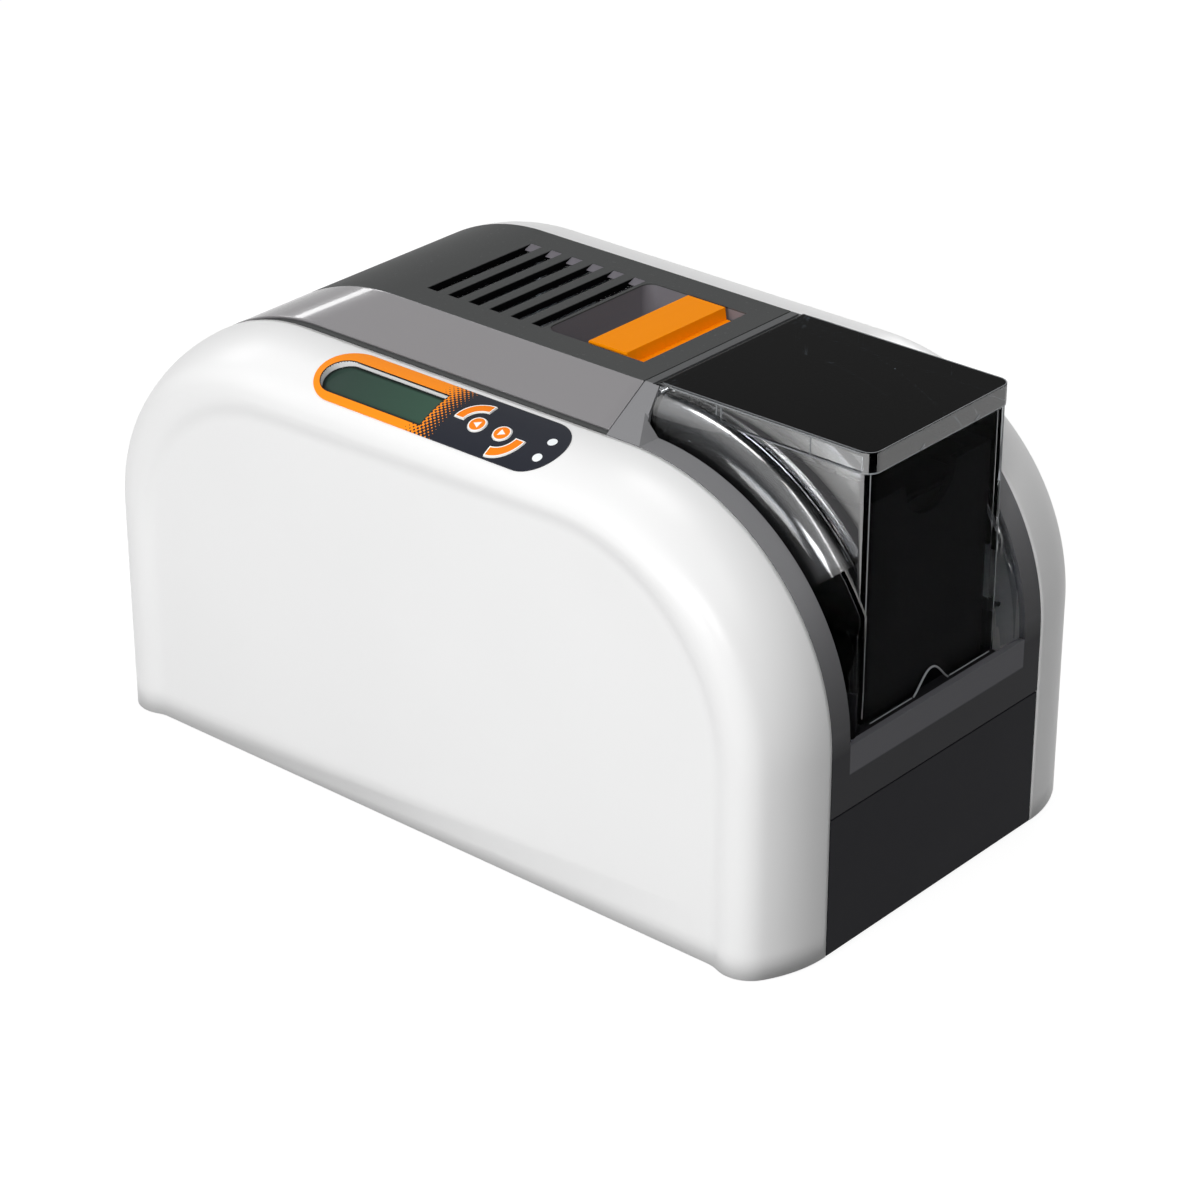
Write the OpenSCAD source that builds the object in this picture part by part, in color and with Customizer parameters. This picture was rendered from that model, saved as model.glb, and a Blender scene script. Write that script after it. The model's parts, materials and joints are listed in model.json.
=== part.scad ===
// ID card printer: arched casing, hinged top cover with a release latch, clear hopper
// cover, card path with a geared roller train, ribbon cassette and thermal print head.
// Millimetres. Origin at the middle of the footprint, +X towards the card hopper,
// -Y towards the control panel, +Z up.

/* [Casing] */
// Overall length, from the rear edge of the side shells to the front
body_len = 356; // [354:1:358]
// Overall width across the two side shells
body_w = 204; // [202:1:206]
// Height of the rubber feet
foot_h = 2; // [1.5:0.5:3]
// Wall thickness of the side shells
wall = 3; // [2.5:0.1:3.2]
// Half width of the dark centre section, up to the seam with the side shells
seam_half = 67; // [66.5:0.1:67.5]
// Height of that seam along the top
seam_top = 186; // [185:0.5:187]
// Radius of the front arch
front_r = 98; // [97:0.5:99]
// Radius of the rear arch
rear_r = 90; // [89:0.5:91]
// Drop of the oval shoulder of a side shell
shoulder_drop = 20; // [19.5:0.1:20.5]
// Tight radius at the foot of the oval shoulder
shoulder_small_r = 14; // [13:0.5:15]

/* [Top cover] */
// Half width of the flat dark top
crown_half = 44.4; // [44:0.1:44.8]
// Height of the flat top
crown_top = 200.4; // [200:0.1:200.8]
// Radius of its rear arch
crown_rear_r = 95; // [94:0.5:96]
// How far the rear panel stands in from the side shells
crown_rear_in = 21; // [20:0.5:22]
// Number of vent slots
vent_count = 6; // [4:1:6]

/* [Clear hopper cover] */
// Half width of the clear box
hopper_half = 43.4; // [43:0.1:43.8]
// Height of its top
hopper_top = 201.5; // [201:0.1:202]
// Thickness of the clear plastic
clear_wall = 2.2; // [2:0.1:2.5]
// Height of the finger notch in its lower edge
notch_h = 9; // [7:0.5:10]

/* [Card path] */
// Length of a card
card_len = 85.6; // [85.5:0.1:85.7]
// Width of a card
card_w = 54; // [53.9:0.1:54.1]
// Thickness of a card
card_t = 0.76; // [0.5:0.01:0.8]
// Cards in the cassette
card_count = 100; // [20:5:100]
// Height of the card path above the table
path_z = 88;
// Radius of every driven roller
roller_r = 8; // [7.5:0.1:8]

/* [Gear train] */
// Gear module, which also sets the distance between the rollers
gear_m = 1.9; // [1.88:0.01:1.9]
// Running clearance of a shaft in its bore
run_fit = 0.06; // [0.03:0.01:0.09]

/* [Hidden] */
$fn = 96;

// Colours
white_c = [0.93, 0.93, 0.92];
dark_c = [0.30, 0.31, 0.30];
grey_c = [0.54, 0.53, 0.54];
charcoal_c = [0.15, 0.155, 0.165];
bezel_c = [0.42, 0.42, 0.43];
orange_c = [1.0, 0.50, 0.08];
steel_c = [0.62, 0.63, 0.65];
rubber_c = [0.08, 0.08, 0.08];
gear_c = [0.88, 0.86, 0.80];
board_c = [0.10, 0.33, 0.18];
black_c = [0.05, 0.05, 0.055];

// Casing geometry
far = 2 * body_len;
front_x = body_len / 2;
base_z = foot_h;
front_cx = front_x - front_r;
front_cz = seam_top - front_r;
rear_cx = rear_r - front_x;
rear_cz = seam_top - rear_r;
crown_rear_x = crown_rear_in - front_x;
crown_cx = crown_rear_x + crown_rear_r;
crown_cz = crown_top - crown_rear_r;
shoulder_run = body_w / 2 - seam_half;
shoulder_big_r = (pow(shoulder_run, 2) + pow(shoulder_drop, 2)
    - 2 * shoulder_run * shoulder_small_r) / (2 * (shoulder_drop - shoulder_small_r));
shoulder_turn = atan2(shoulder_run - shoulder_small_r, shoulder_big_r - shoulder_drop);
seam_gap = 0.4;
skin = 3;
strip_half = seam_half - seam_gap;

// Side panel recess
recess_depth = 2.2;
recess_slope = 3.5;
recess_front = [71, 84, 84.5];
recess_rear = [-79, 88, 76.5];
shell_inner_y = body_w / 2 - recess_depth - 2.6;

// Front, base and hopper
panel_t = 3;
front_panel_top = 61;
sill_top = 88.5;
bezel_in = 56;
lid_front_x = 67.7;
bezel_rear_x = 68.3;
cover_rear_x = 72.4;
flange_rear_x = 80;
flange_top_x = 75.4;
flange_gap = 0.6;
flange_round = bezel_in - hopper_half - 0.3;
flange_lip = 4;
flange_foot = 7;
flange_crease = 37.5;
cheek_front_x = 77;
cheek_top_z = 194;
cheek_pitch = 46.8;
cheek_end_x = 84.5;
base_t = 2.5;
base_top = base_z + base_t;
well_wall_x = 69;
well_floor = 87;
well_floor_t = 3;
well_step = 103;
well_step_in = 43.5;
well_side = 52.5;

// Teeth on a roller gear and on an idler, and on the motor pinion
gear_teeth = 20;
pinion_teeth = 12;

// Chassis
plate_in = 42;
plate_t = 2;
bed_top = path_z - 1;
shaft_z = path_z - roller_r;
shaft_r = 3;
roller_half = 28;
gear_r = gear_m * gear_teeth / 2;
pinion_r = gear_m * pinion_teeth / 2;
pitch_x = 2 * gear_r;
pick_x = 128;
card_x = 122;
feed_x = pick_x - 2 * pitch_x;
platen_x = feed_x - 2 * pitch_x;
exit_x = platen_x - 2 * pitch_x;
gear_y = 45;
gear_t = 6;
motor_z = shaft_z - gear_r - pinion_r;
pinch_r = 5;
pinch_z = path_z + card_t + 0.3 + pinch_r;

// Ribbon and print head
supply_at = [platen_x - 52, 128];
take_up_at = [platen_x + 46, 128];
supply_roll_r = 17;
take_up_roll_r = 12;
film_t = 0.3;
film_half = 28.5;
guide_bar_r = 2.5;
guide_bar_dx = 24.4;
guide_bar_z = 101.5;
cassette_end_y = 36;
cassette_end_t = 2.5;
head_tip_z = 89.6;

// Top cover hinge and split
hinge_at = [-154, 136];
hinge_r = 3.5;
pin_r = 1.5;
split_z = 135;
split_gap = 1;
split_rise = 20;

// Latch
latch_at = [60, 193];
well_x0 = 6.7;
well_x1 = 56.4;
well_half = 31.3;
well_corner = 5;
well_bottom = 186;
tub_end = 64.2;
tub_wall = 2;

// Clear cover hinge
cover_pivot = [cover_rear_x + 3.4, hopper_top - 3.4];
cover_pin_end = crown_half + 1;

// Control panel: a stadium on the big arc of the near shoulder
panel_tilt = 19.2;
panel_half = 62.5;
panel_end_r = 14.33;
panel_film = 0.6;
panel_proud = 0.25;
window_x0 = -59;
window_x1 = -1.5;
window_v0 = -10.5;
window_v1 = 7.5;
left_key_at = [20.9, -1.5];
right_key_at = [33.4, -1.5];
round_key_r = 3.8;
arc_key_in = 7.2;
arc_key_out = 11.8;
key_gap = 0.35;
key_proud = 0.4;
light_at = [[54.8, 3.1], [54.8, -6.1]];
light_r = 2;

// ---------- shared helpers ----------

// A profile drawn in X and Z, carried across from y0 to y1
module across(y0, y1) {
    translate([0, y1, 0])
        rotate([90, 0, 0])
            linear_extrude(y1 - y0) children();
}

// A cylinder along Y, centred on [x, z]
module rod_y(at, r, y0, y1) {
    translate([at[0], y1, at[1]])
        rotate([90, 0, 0])
            cylinder(r = r, h = y1 - y0);
}

// A box given by its two corners
module block(low, high) {
    translate(low)
        cube(high - low);
}

// Both the near and the far copy of a piece drawn on the far side
module both_sides() {
    children();
    mirror([0, 1, 0]) children();
}

// Quarter of a disc, above the X axis, towards +X or -X
module quarter_disc(r, side) {
    intersection() {
        circle(r = r);
        translate([side > 0 ? 0 : -r, 0]) square([r, r]);
    }
}

// Outline of the casing at the seam, inset by i, with its foot at z
module seam_2d(i = 0, z = base_z) {
    translate([front_cx, front_cz]) quarter_disc(front_r - i, 1);
    translate([rear_cx, rear_cz]) quarter_disc(rear_r - i, -1);
    translate([rear_cx, z]) square([front_cx - rear_cx, seam_top - i - z]);
    translate([front_cx, z]) square([front_r - i, front_cz - z]);
    translate([rear_cx - rear_r + i, z]) square([rear_r - i, rear_cz - z]);
}

// Outline of the dark centre section behind the hopper, inset by i
module crown_2d(i = 0, z = base_z) {
    translate([crown_cx, crown_cz]) quarter_disc(crown_rear_r - i, -1);
    translate([crown_cx, z]) square([lid_front_x - crown_cx, crown_top - i - z]);
    translate([crown_rear_x + i, z]) square([crown_rear_r - i, crown_cz - z]);
}

// Oval shoulder: X is the way out from the seam, Y the height above its foot
module shoulder_2d(i = 0, e = 0) {
    join_y = (shoulder_big_r - i) * sin(shoulder_turn);
    intersection() {
        translate([0, shoulder_drop - shoulder_big_r]) circle(r = shoulder_big_r - i);
        square([join_y, shoulder_drop]);
    }
    intersection() {
        translate([shoulder_run - shoulder_small_r, 0]) circle(r = shoulder_small_r - i);
        translate([join_y, 0]) square([shoulder_run, shoulder_drop]);
    }
    if (e > 0) translate([-e, 0]) square([e, shoulder_drop - i]);
}

// The shoulder turned so that its height points along X
module shoulder_on_edge(i, e) {
    mirror([1, -1]) shoulder_2d(i, e);
}

// Everything outside the seam on the far side: the arch with its oval shoulder
module flank(i = 0, e = 0, z = base_z) {
    translate([rear_cx, seam_half, seam_top - shoulder_drop])
        rotate([90, 0, 90])
            linear_extrude(front_cx - rear_cx) shoulder_2d(i, e);
    translate([front_cx, seam_half, front_cz])
        rotate([-90, 0, 0])
            rotate([0, 0, -90])
                rotate_extrude(angle = 90)
                    translate([front_r - shoulder_drop, 0]) shoulder_on_edge(i, e);
    translate([rear_cx, seam_half, rear_cz])
        rotate([-90, 0, 0])
            rotate([0, 0, 180])
                rotate_extrude(angle = 90)
                    translate([rear_r - shoulder_drop, 0]) shoulder_on_edge(i, e);
    translate([front_x - shoulder_drop, seam_half, z])
        linear_extrude(front_cz - z) shoulder_on_edge(i, e);
    translate([shoulder_drop - front_x, seam_half, z])
        linear_extrude(rear_cz - z) mirror([1, 0]) shoulder_on_edge(i, e);
    across(seam_half - e, seam_half + shoulder_run - i) seam_2d(shoulder_drop, z);
}

// The large flat of a side shell, sunk with a sloping edge: a rounded form that is open below
module side_recess() {
    hull()
        for (c = [recess_front, recess_rear])
            for (z = [c[1], base_z - c[2]])
                translate([c[0], body_w / 2 - recess_depth, z])
                    rotate([-90, 0, 0])
                        cylinder(r1 = c[2] - recess_slope, r2 = c[2], h = recess_depth + 0.02,
                                 $fn = 144);
}

module side_shell() {
    difference() {
        flank();
        intersection() {
            flank(wall, 5, base_z - 1);
            block([-far, 0, -far], [far, shell_inner_y, far]);
        }
        side_recess();
    }
}

// ---------- control panel frame ----------

// Local frame on the near shoulder: X along the printer, Y up the slope, Z out of the surface,
// with its origin on the axis of the big arc
module on_panel() {
    translate([0, -seam_half, seam_top - shoulder_big_r])
        rotate([panel_tilt, 0, 0]) children();
}

// A solid cylinder along X, coaxial with the big arc
module panel_drum(r) {
    translate([-panel_half - 20, 0, 0])
        rotate([0, 90, 0])
            cylinder(r = r, h = 2 * panel_half + 40, $fn = 180);
}

module panel_outline() {
    for (s = [-1, 1]) translate([s * (panel_half - panel_end_r), 0]) circle(r = panel_end_r);
    square([2 * (panel_half - panel_end_r), 2 * panel_end_r], center = true);
}

// LCD window: round at the rear end, square at the other
module window_outline(i = 0) {
    r = (window_v1 - window_v0) / 2;
    translate([window_x0 + r, (window_v0 + window_v1) / 2]) {
        circle(r = r - i);
        translate([0, i - r]) square([window_x1 - window_x0 - r - i, 2 * (r - i)]);
    }
}

module ring_sector(at, a, grow) {
    translate(at)
        rotate(a)
            intersection() {
                difference() {
                    circle(r = arc_key_out + grow);
                    circle(r = arc_key_in - grow);
                }
                translate([-grow, -grow]) square(arc_key_out + 2 * grow);
            }
}

module back_key_outline(grow = 0) {
    ring_sector(left_key_at, 90, grow);
}

module enter_key_outline(grow = 0) {
    ring_sector(right_key_at, -90, grow);
}

module left_key_outline(grow = 0) {
    translate(left_key_at) circle(r = round_key_r + grow);
}

module right_key_outline(grow = 0) {
    translate(right_key_at) circle(r = round_key_r + grow);
}

// Every opening that goes through the panel film and the shell under it
module panel_holes() {
    window_outline();
    back_key_outline(key_gap);
    enter_key_outline(key_gap);
    left_key_outline(key_gap);
    right_key_outline(key_gap);
    for (p = light_at) translate(p) circle(r = light_r);
}

// A key: its cap follows the shoulder, its foot is held behind the shell
module key_solid() {
    intersection() {
        translate([0, 0, 47.5]) linear_extrude(9) children(0);
        panel_drum(shoulder_big_r + panel_proud + key_proud);
    }
    intersection() {
        translate([0, 0, 47.5]) linear_extrude(1.2) children(1);
        panel_drum(shoulder_big_r - 4);
    }
}

// ---------- casing ----------

module near_side_shell() {
    color(white_c)
        difference() {
            mirror([0, 1, 0]) side_shell();
            on_panel()
                difference() {
                    linear_extrude(70) panel_outline();
                    panel_drum(shoulder_big_r + panel_proud - panel_film);
                }
            on_panel() translate([0, 0, 40]) linear_extrude(30) panel_holes();
        }
}

module far_side_shell() {
    color(white_c) side_shell();
}

module front_panel() {
    color(charcoal_c) {
        block([front_x - panel_t, -strip_half, base_z], [front_x, strip_half, front_panel_top]);
        for (y = [-45, -15, 15, 45])
            block([front_x - panel_t - 6, y - 1, base_top], [front_x - panel_t, y + 1, 50]);
    }
}

// Arched frame round the clear cover, with the sill below it and the two cheeks behind it
module hopper_bezel() {
    color(bezel_c) {
        difference() {
            bezel_bridge();
            rod_y(cover_pivot, pin_r, -cover_pin_end, cover_pin_end);
        }
        difference() {
            across(-strip_half, strip_half)
                difference() {
                    seam_2d();
                    seam_2d(panel_t, 0);
                }
            block([-far, -far, -1], [flange_rear_x - 0.5, far, far]);
            block([0, -far, -1], [far, far, front_panel_top + 0.6]);
            block([flange_rear_x - 1, -bezel_in, sill_top], [far, bezel_in, far]);
        }
        block([front_x - 6, -60, 52], [front_x - panel_t, 60, front_panel_top + 5]);
    }
}

// The cross bar behind the clear cover and the sloping cheeks on its two sides
module bezel_bridge() {
    slope = (crown_top - seam_top) / (seam_half - crown_half);
    edge_z = crown_top - (strip_half - crown_half) * slope;
    translate([bezel_rear_x, 0, 0])
        rotate([90, 0, 90])
            linear_extrude(cover_rear_x - 0.5 - bezel_rear_x)
                difference() {
                    polygon([[-strip_half, edge_z - 8], [-strip_half, edge_z],
                             [-crown_half, crown_top], [crown_half, crown_top],
                             [strip_half, edge_z], [strip_half, edge_z - 8]]);
                    polygon([[-strip_half + 3, edge_z - 9], [-strip_half + 3, edge_z - 2],
                             [-crown_half, crown_top - 3.5], [crown_half, crown_top - 3.5],
                             [strip_half - 3, edge_z - 2], [strip_half - 3, edge_z - 9]]);
                }
    // each cheek runs on to the cover's flange and slopes down to the arched frame
    both_sides()
        difference() {
            translate([cover_rear_x - 0.5, 0, 0])
                rotate([90, 0, 90])
                    linear_extrude(cheek_end_x + 0.5 - cover_rear_x)
                        polygon([[strip_half, edge_z - 3], [strip_half, edge_z],
                                 [crown_half, crown_top], [crown_half, crown_top - 4],
                                 [bezel_in, seam_top - 3]]);
            translate([0, 0, 150]) linear_extrude(60)
                polygon([[flange_top_x - flange_gap, 0], [flange_top_x - flange_gap, hopper_half],
                         [flange_rear_x - flange_gap, bezel_in], [far, bezel_in], [far, 0]]);
            translate([cheek_front_x, bezel_in - 1, cheek_top_z])
                rotate([0, cheek_pitch, 0]) cube([30, 30, 30]);
        }
}

// Dark tub that the card cassette stands in: floor, raised sides over the gears, back wall
module hopper_well() {
    color(charcoal_c) {
        difference() {
            union() {
                block([well_wall_x, -well_step_in, well_floor - well_floor_t],
                      [front_x - panel_t, well_step_in, well_floor]);
                both_sides() {
                    block([well_wall_x, well_step_in, well_floor - well_floor_t],
                          [170.8, well_step_in + 1, well_step]);
                    block([well_wall_x, well_step_in, well_step - 1.5],
                          [168, well_side, well_step]);
                }
                block([well_wall_x, -well_step_in, well_floor - well_floor_t],
                      [71.5, well_step_in, well_step]);
                block([well_wall_x, -well_side, well_step - 1.5], [71.5, well_side, 184]);
                block([well_wall_x, -crown_half + 2, 183.9], [71.5, crown_half - 2, crown_top - 3.5]);
                block([67, -10, 183], [well_wall_x, 10, 187]);
            }
            // card mouth through the back wall
            block([60, -card_w / 2 - 1, path_z - 1], [75, card_w / 2 + 1, path_z + 5]);
            // pick roller window in the floor
            block([pick_x - 11, -roller_half - 2, 80], [pick_x + 11, roller_half + 2, 90]);
        }
    }
}

// The lower, fixed part of the rear: centre plane and the two ruled strips
module rear_panel() {
    color(dark_c)
        difference() {
            union() {
                rear_skin();
                fixed_knuckles();
            }
            for (y = [-30, 30]) block([-165, y - 4.2, 130], [-140, y + 4.2, 150]);
            rod_y(hinge_at, pin_r, -50, 50);
            // card exit
            block([-170, -card_w / 2 - 2, path_z - 2], [-150, card_w / 2 + 2, path_z + 4]);
            // inlet, rocker and socket openings
            block([-170, -38, 20], [-150, -10, 42]);
            block([-170, 10, 26], [-150, 24, 38]);
            // air slots
            for (z = [54:6:72]) block([-170, -36, z], [-150, 36, z + 3]);
        }
}

// Skin of the rear panel below the split
module rear_skin() {
    difference() {
        union() {
            across(-crown_half - 0.4, crown_half + 0.4)
                difference() {
                    crown_2d();
                    crown_2d(skin, 0);
                }
            both_sides() crown_strip();
        }
        block([-110, -far, -1], [far, far, far]);
        split_space(split_z);
    }
}

// All the space above the split, which rises as a mitre on the two strips
module split_space(z) {
    translate([-far, 0, 0])
        rotate([90, 0, 90])
            linear_extrude(2 * far)
                polygon([[-seam_half - 5, far], [-seam_half - 5, z + split_rise * 1.2],
                         [-seam_half, z + split_rise], [-crown_half, z], [crown_half, z],
                         [seam_half, z + split_rise], [seam_half + 5, z + split_rise * 1.2],
                         [seam_half + 5, far]]);
}

// One ruled strip between the flat top and the seam, all round the arch
module crown_strip() {
    difference() {
        strip_loft(0, 0.01);
        strip_loft(2.5, 0.05);
    }
}

// Ruled form between the outline of the flat top and that of the seam, inset by i
module strip_loft(i, slab) {
    low = i > 0 ? base_z - 1 : base_z;
    over = i > 0 ? slab : 0;
    hull() {
        across(crown_half - over, crown_half + slab - over) crown_2d(i, low);
        across(strip_half + over - slab, strip_half + over)
            intersection() {
                seam_2d(i, low);
                translate([-far, -10]) square([far + lid_front_x, far]);
            }
    }
}

module fixed_knuckles() {
    both_sides()
        for (y = [18, 34.4]) {
            rod_y(hinge_at, hinge_r, y, y + 7.4);
            block([-157, y, 126], [-150.5, y + 7.4, hinge_at[1]]);
        }
}

// The base reaches into the rounded corners of the shell and up to the rear strip
module base_corners() {
    intersection() {
        union() {
            translate([front_x - shoulder_drop, seam_half]) shoulder_on_edge(wall, 0.5);
            translate([shoulder_drop - front_x, seam_half])
                mirror([1, 0]) shoulder_on_edge(wall, 0.5);
        }
        translate([-far, 0]) square([2 * far, shell_inner_y]);
    }
    polygon([[-150, crown_half + 0.6], [-154.2, crown_half + 0.6], [-175, 66.4], [-175, seam_half],
             [-150, seam_half]]);
}

module base_plate() {
    color(dark_c)
        difference() {
            union() {
                block([crown_rear_x + skin, -seam_half, base_z],
                      [front_x - panel_t, seam_half, base_top]);
                both_sides() {
                    block([shoulder_drop - front_x, seam_half - 0.5, base_z],
                          [front_x - shoulder_drop, shell_inner_y, base_top]);
                    translate([0, 0, base_z]) linear_extrude(base_t) base_corners();
                }
                // stiffening ribs
                for (x = [-120, -60, 0, 60, 120])
                    block([x - 1, -plate_in, base_top], [x + 1, plate_in, base_top + 6]);
            }
            // air holes under the power supply
            for (x = [-110:12:-38]) block([x, 62, 0], [x + 4, 90, 10]);
        }
}

module rubber_feet() {
    color(rubber_c)
        for (x = [-130, 130])
            for (y = [-80, 80])
                translate([x, y, 0]) cylinder(r = 9, h = foot_h);
}

// ---------- chassis and card path ----------

module chassis_outline() {
    difference() {
        union() {
            translate([-148, base_top]) square([148 + 66, 104 - base_top]);
            translate([-128, base_top]) square([128 + 60, 146 - base_top]);
            translate([0, base_top]) square([168, well_floor - well_floor_t - base_top]);
        }
        // lightening holes
        translate([-100, 40]) circle(r = 14);
        translate([95, 38]) circle(r = 16);
    }
}

// Bores for the four spindles and the two pinch rollers
module shaft_bores() {
    for (x = [pick_x, feed_x, platen_x, exit_x]) rod_y([x, shaft_z], shaft_r + run_fit, -60, 60);
    for (x = [feed_x, exit_x]) rod_y([x, pinch_z], 2 + run_fit, -60, 60);
}

module near_chassis_plate() {
    color(steel_c)
        difference() {
            across(-plate_in - plate_t, -plate_in) chassis_outline();
            shaft_bores();
            both_sides() cassette_slots();
        }
}

module far_chassis_plate() {
    color(steel_c) {
        difference() {
            across(plate_in, plate_in + plate_t) chassis_outline();
            shaft_bores();
            cassette_slots();
            rod_y([platen_x + pitch_x, motor_z], 6, 30, 60);
        }
        for (x = [pick_x, feed_x, platen_x])
            rod_y([x - pitch_x, shaft_z], 2.5, plate_in + plate_t, gear_y + gear_t + 1);
    }
}

// Slots that the spool ends drop into
module cassette_slots() {
    for (p = [supply_at, take_up_at]) {
        rod_y(p, 7, plate_in - 1, plate_in + plate_t + 1);
        block([p[0] - 7, plate_in - 1, p[1]], [p[0] + 7, plate_in + plate_t + 1, 160]);
    }
}

// Bed between the chassis plates, with a low rail on each side of the card
module card_bed() {
    color(charcoal_c)
        difference() {
            union() {
                block([-150, -plate_in, bed_top - 3], [66, plate_in, bed_top]);
                both_sides()
                    block([-150, card_w / 2 + 0.5, bed_top], [66, card_w / 2 + 2.5, bed_top + 3]);
            }
            for (x = [feed_x, platen_x, exit_x])
                block([x - 9.5, -roller_half - 2, 80], [x + 9.5, roller_half + 2, 95]);
            // the spindles run just under the bed
            for (x = [feed_x, platen_x, exit_x])
                block([x - 5, -plate_in - 1, 80], [x + 5, plate_in + 1, shaft_z + 5]);
        }
}

module roller_sleeve(x) {
    color(rubber_c)
        difference() {
            rod_y([x, shaft_z], roller_r, -roller_half, roller_half);
            rod_y([x, shaft_z], 5, -roller_half - 1, roller_half + 1);
        }
}

// Moulded spindle: the core under the rubber, two journals and the drive gear on the far end
module roller_spindle(x) {
    color(gear_c) {
        rod_y([x, shaft_z], 5, -roller_half, roller_half);
        rod_y([x, shaft_z], shaft_r, -plate_in - plate_t - 1.5, gear_y);
        spur_gear([x, shaft_z], gear_teeth, 0, 0);
    }
}

module pick_roller() { roller_sleeve(pick_x); }
module feed_roller() { roller_sleeve(feed_x); }
module platen_roller() { roller_sleeve(platen_x); }
module exit_roller() { roller_sleeve(exit_x); }
module pick_spindle() { roller_spindle(pick_x); }
module feed_spindle() { roller_spindle(feed_x); }
module platen_spindle() { roller_spindle(platen_x); }
module exit_spindle() { roller_spindle(exit_x); }

// Angle in degrees between the start of an involute and radius r on it
function involute_turn(base_r, r) =
    let (a = acos(min(1, base_r / r))) tan(a) * 180 / PI - a;

// Half the angle that a tooth takes up at radius r
function half_tooth(teeth, r) =
    let (pitch_r = gear_m * teeth / 2, base_r = pitch_r * cos(20), backlash = 0.22)
    90 / teeth - backlash / (2 * pitch_r) * 180 / PI
        + involute_turn(base_r, pitch_r) - involute_turn(base_r, max(r, base_r));

// Outline of a spur gear with a tooth centred on the angle phase
module gear_2d(teeth, phase) {
    pitch_r = gear_m * teeth / 2;
    root_r = pitch_r - 1.25 * gear_m;
    tip_r = pitch_r + 0.9 * gear_m;
    radii = [root_r, pitch_r - 0.5 * gear_m, pitch_r, pitch_r + 0.5 * gear_m, tip_r];
    polygon([
        for (k = [0:teeth - 1])
            for (p = concat([for (r = radii) [r, -1]], [for (j = [4:-1:0]) [radii[j], 1]]))
                let (a = phase + 360 * k / teeth + p[1] * half_tooth(teeth, p[0]))
                [p[0] * cos(a), p[0] * sin(a)]
    ]);
}

// A gear on an axis along Y, in the plane of the train, with a bore of radius hole
module spur_gear(at, teeth, phase, hole) {
    translate([at[0], 0, at[1]])
        difference() {
            across(gear_y, gear_y + gear_t) gear_2d(teeth, phase);
            if (hole > 0) rod_y([0, 0], hole, gear_y - 1, gear_y + gear_t + 1);
            if (teeth > pinion_teeth)
                for (a = [45:90:315])
                    rod_y([10.5 * cos(a), 10.5 * sin(a)], 3.2, gear_y - 1, gear_y + gear_t + 1);
        }
}

// An idler has a gap, not a tooth, where it meets its two neighbours
module idler(x) {
    color(gear_c) spur_gear([x, shaft_z], gear_teeth, 180 / gear_teeth, 2.5 + run_fit);
}

module hopper_idler_gear() { idler(pick_x - pitch_x); }
module middle_idler_gear() { idler(feed_x - pitch_x); }
module rear_idler_gear() { idler(platen_x - pitch_x); }

// Pinion with its shaft, driven from below the middle idler
module motor_pinion() {
    at = [feed_x - pitch_x, motor_z];
    color(steel_c) {
        spur_gear(at, pinion_teeth, 90, 0);
        rod_y(at, 2.5, 30, gear_y);
    }
}

module drive_motor() {
    at = [feed_x - pitch_x, motor_z];
    color(black_c)
        difference() {
            union() {
                rod_y(at, 16, 8, 38);
                block([at[0] - 17, 38, at[1] - 17], [at[0] + 17, plate_in, at[1] + 17]);
            }
            rod_y(at, 2.5 + run_fit, 28, 60);
        }
}

module pinch_roller(x) {
    color(rubber_c) {
        rod_y([x, pinch_z], pinch_r, -24, 24);
        rod_y([x, pinch_z], 2, -plate_in - plate_t - 0.8, plate_in + plate_t + 0.8);
    }
}

module feed_pinch_roller() { pinch_roller(feed_x); }
module exit_pinch_roller() { pinch_roller(exit_x); }

// ---------- ribbon ----------

module cassette_end_2d() {
    difference() {
        union() {
            translate([platen_x - 30, bed_top]) square([60, 22]);
            translate([supply_at[0], 108]) square([take_up_at[0] - supply_at[0], 34]);
            translate([supply_at[0], 125]) circle(r = 17);
            translate([take_up_at[0], 125]) circle(r = 17);
        }
        translate(supply_at) circle(r = 5 + run_fit);
        translate(take_up_at) circle(r = 5 + run_fit);
    }
}

module ribbon_cassette() {
    color(white_c) {
        both_sides() across(cassette_end_y, cassette_end_y + cassette_end_t) cassette_end_2d();
        for (s = [-1, 1]) {
            rod_y([platen_x + s * guide_bar_dx, guide_bar_z], guide_bar_r,
                  -cassette_end_y, cassette_end_y);
            block([platen_x + s * 27 - 2, -cassette_end_y, 130],
                  [platen_x + s * 27 + 2, cassette_end_y, 138]);
        }
    }
}

module spool(at, roll_r) {
    rod_y(at, roll_r, -30, 30);
    both_sides() rod_y(at, roll_r + 1.5, 30, 32);
    rod_y(at, 5, -plate_in + 0.5, plate_in - 0.5);
}

module supply_spool() {
    color(black_c) spool(supply_at, supply_roll_r);
}

module take_up_spool() {
    color(black_c) {
        spool(take_up_at, take_up_roll_r);
        rod_y(take_up_at, 9, cassette_end_y + cassette_end_t + 0.5, plate_in - 0.5);
    }
}

// The film runs down from the supply roll, round the guide bars, under the print head and up
// to the take-up roll; points of one face of it, at distance d from the guide bars
function film_points(d) =
    let (low = head_tip_z - 0.1 - film_t + (guide_bar_r + film_t - d))
    concat(
        [[supply_at[0] + supply_roll_r + 0.4 + guide_bar_r + film_t - d, supply_at[1]]],
        [for (a = [180:10:240])
            [platen_x - guide_bar_dx + d * cos(a), guide_bar_z + d * sin(a)]],
        [[platen_x - 4, low], [platen_x + 4, low]],
        [for (a = [300:10:360])
            [platen_x + guide_bar_dx + d * cos(a), guide_bar_z + d * sin(a)]],
        [[take_up_at[0] - take_up_roll_r - 0.4 - guide_bar_r - film_t + d, take_up_at[1]]]);

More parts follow.
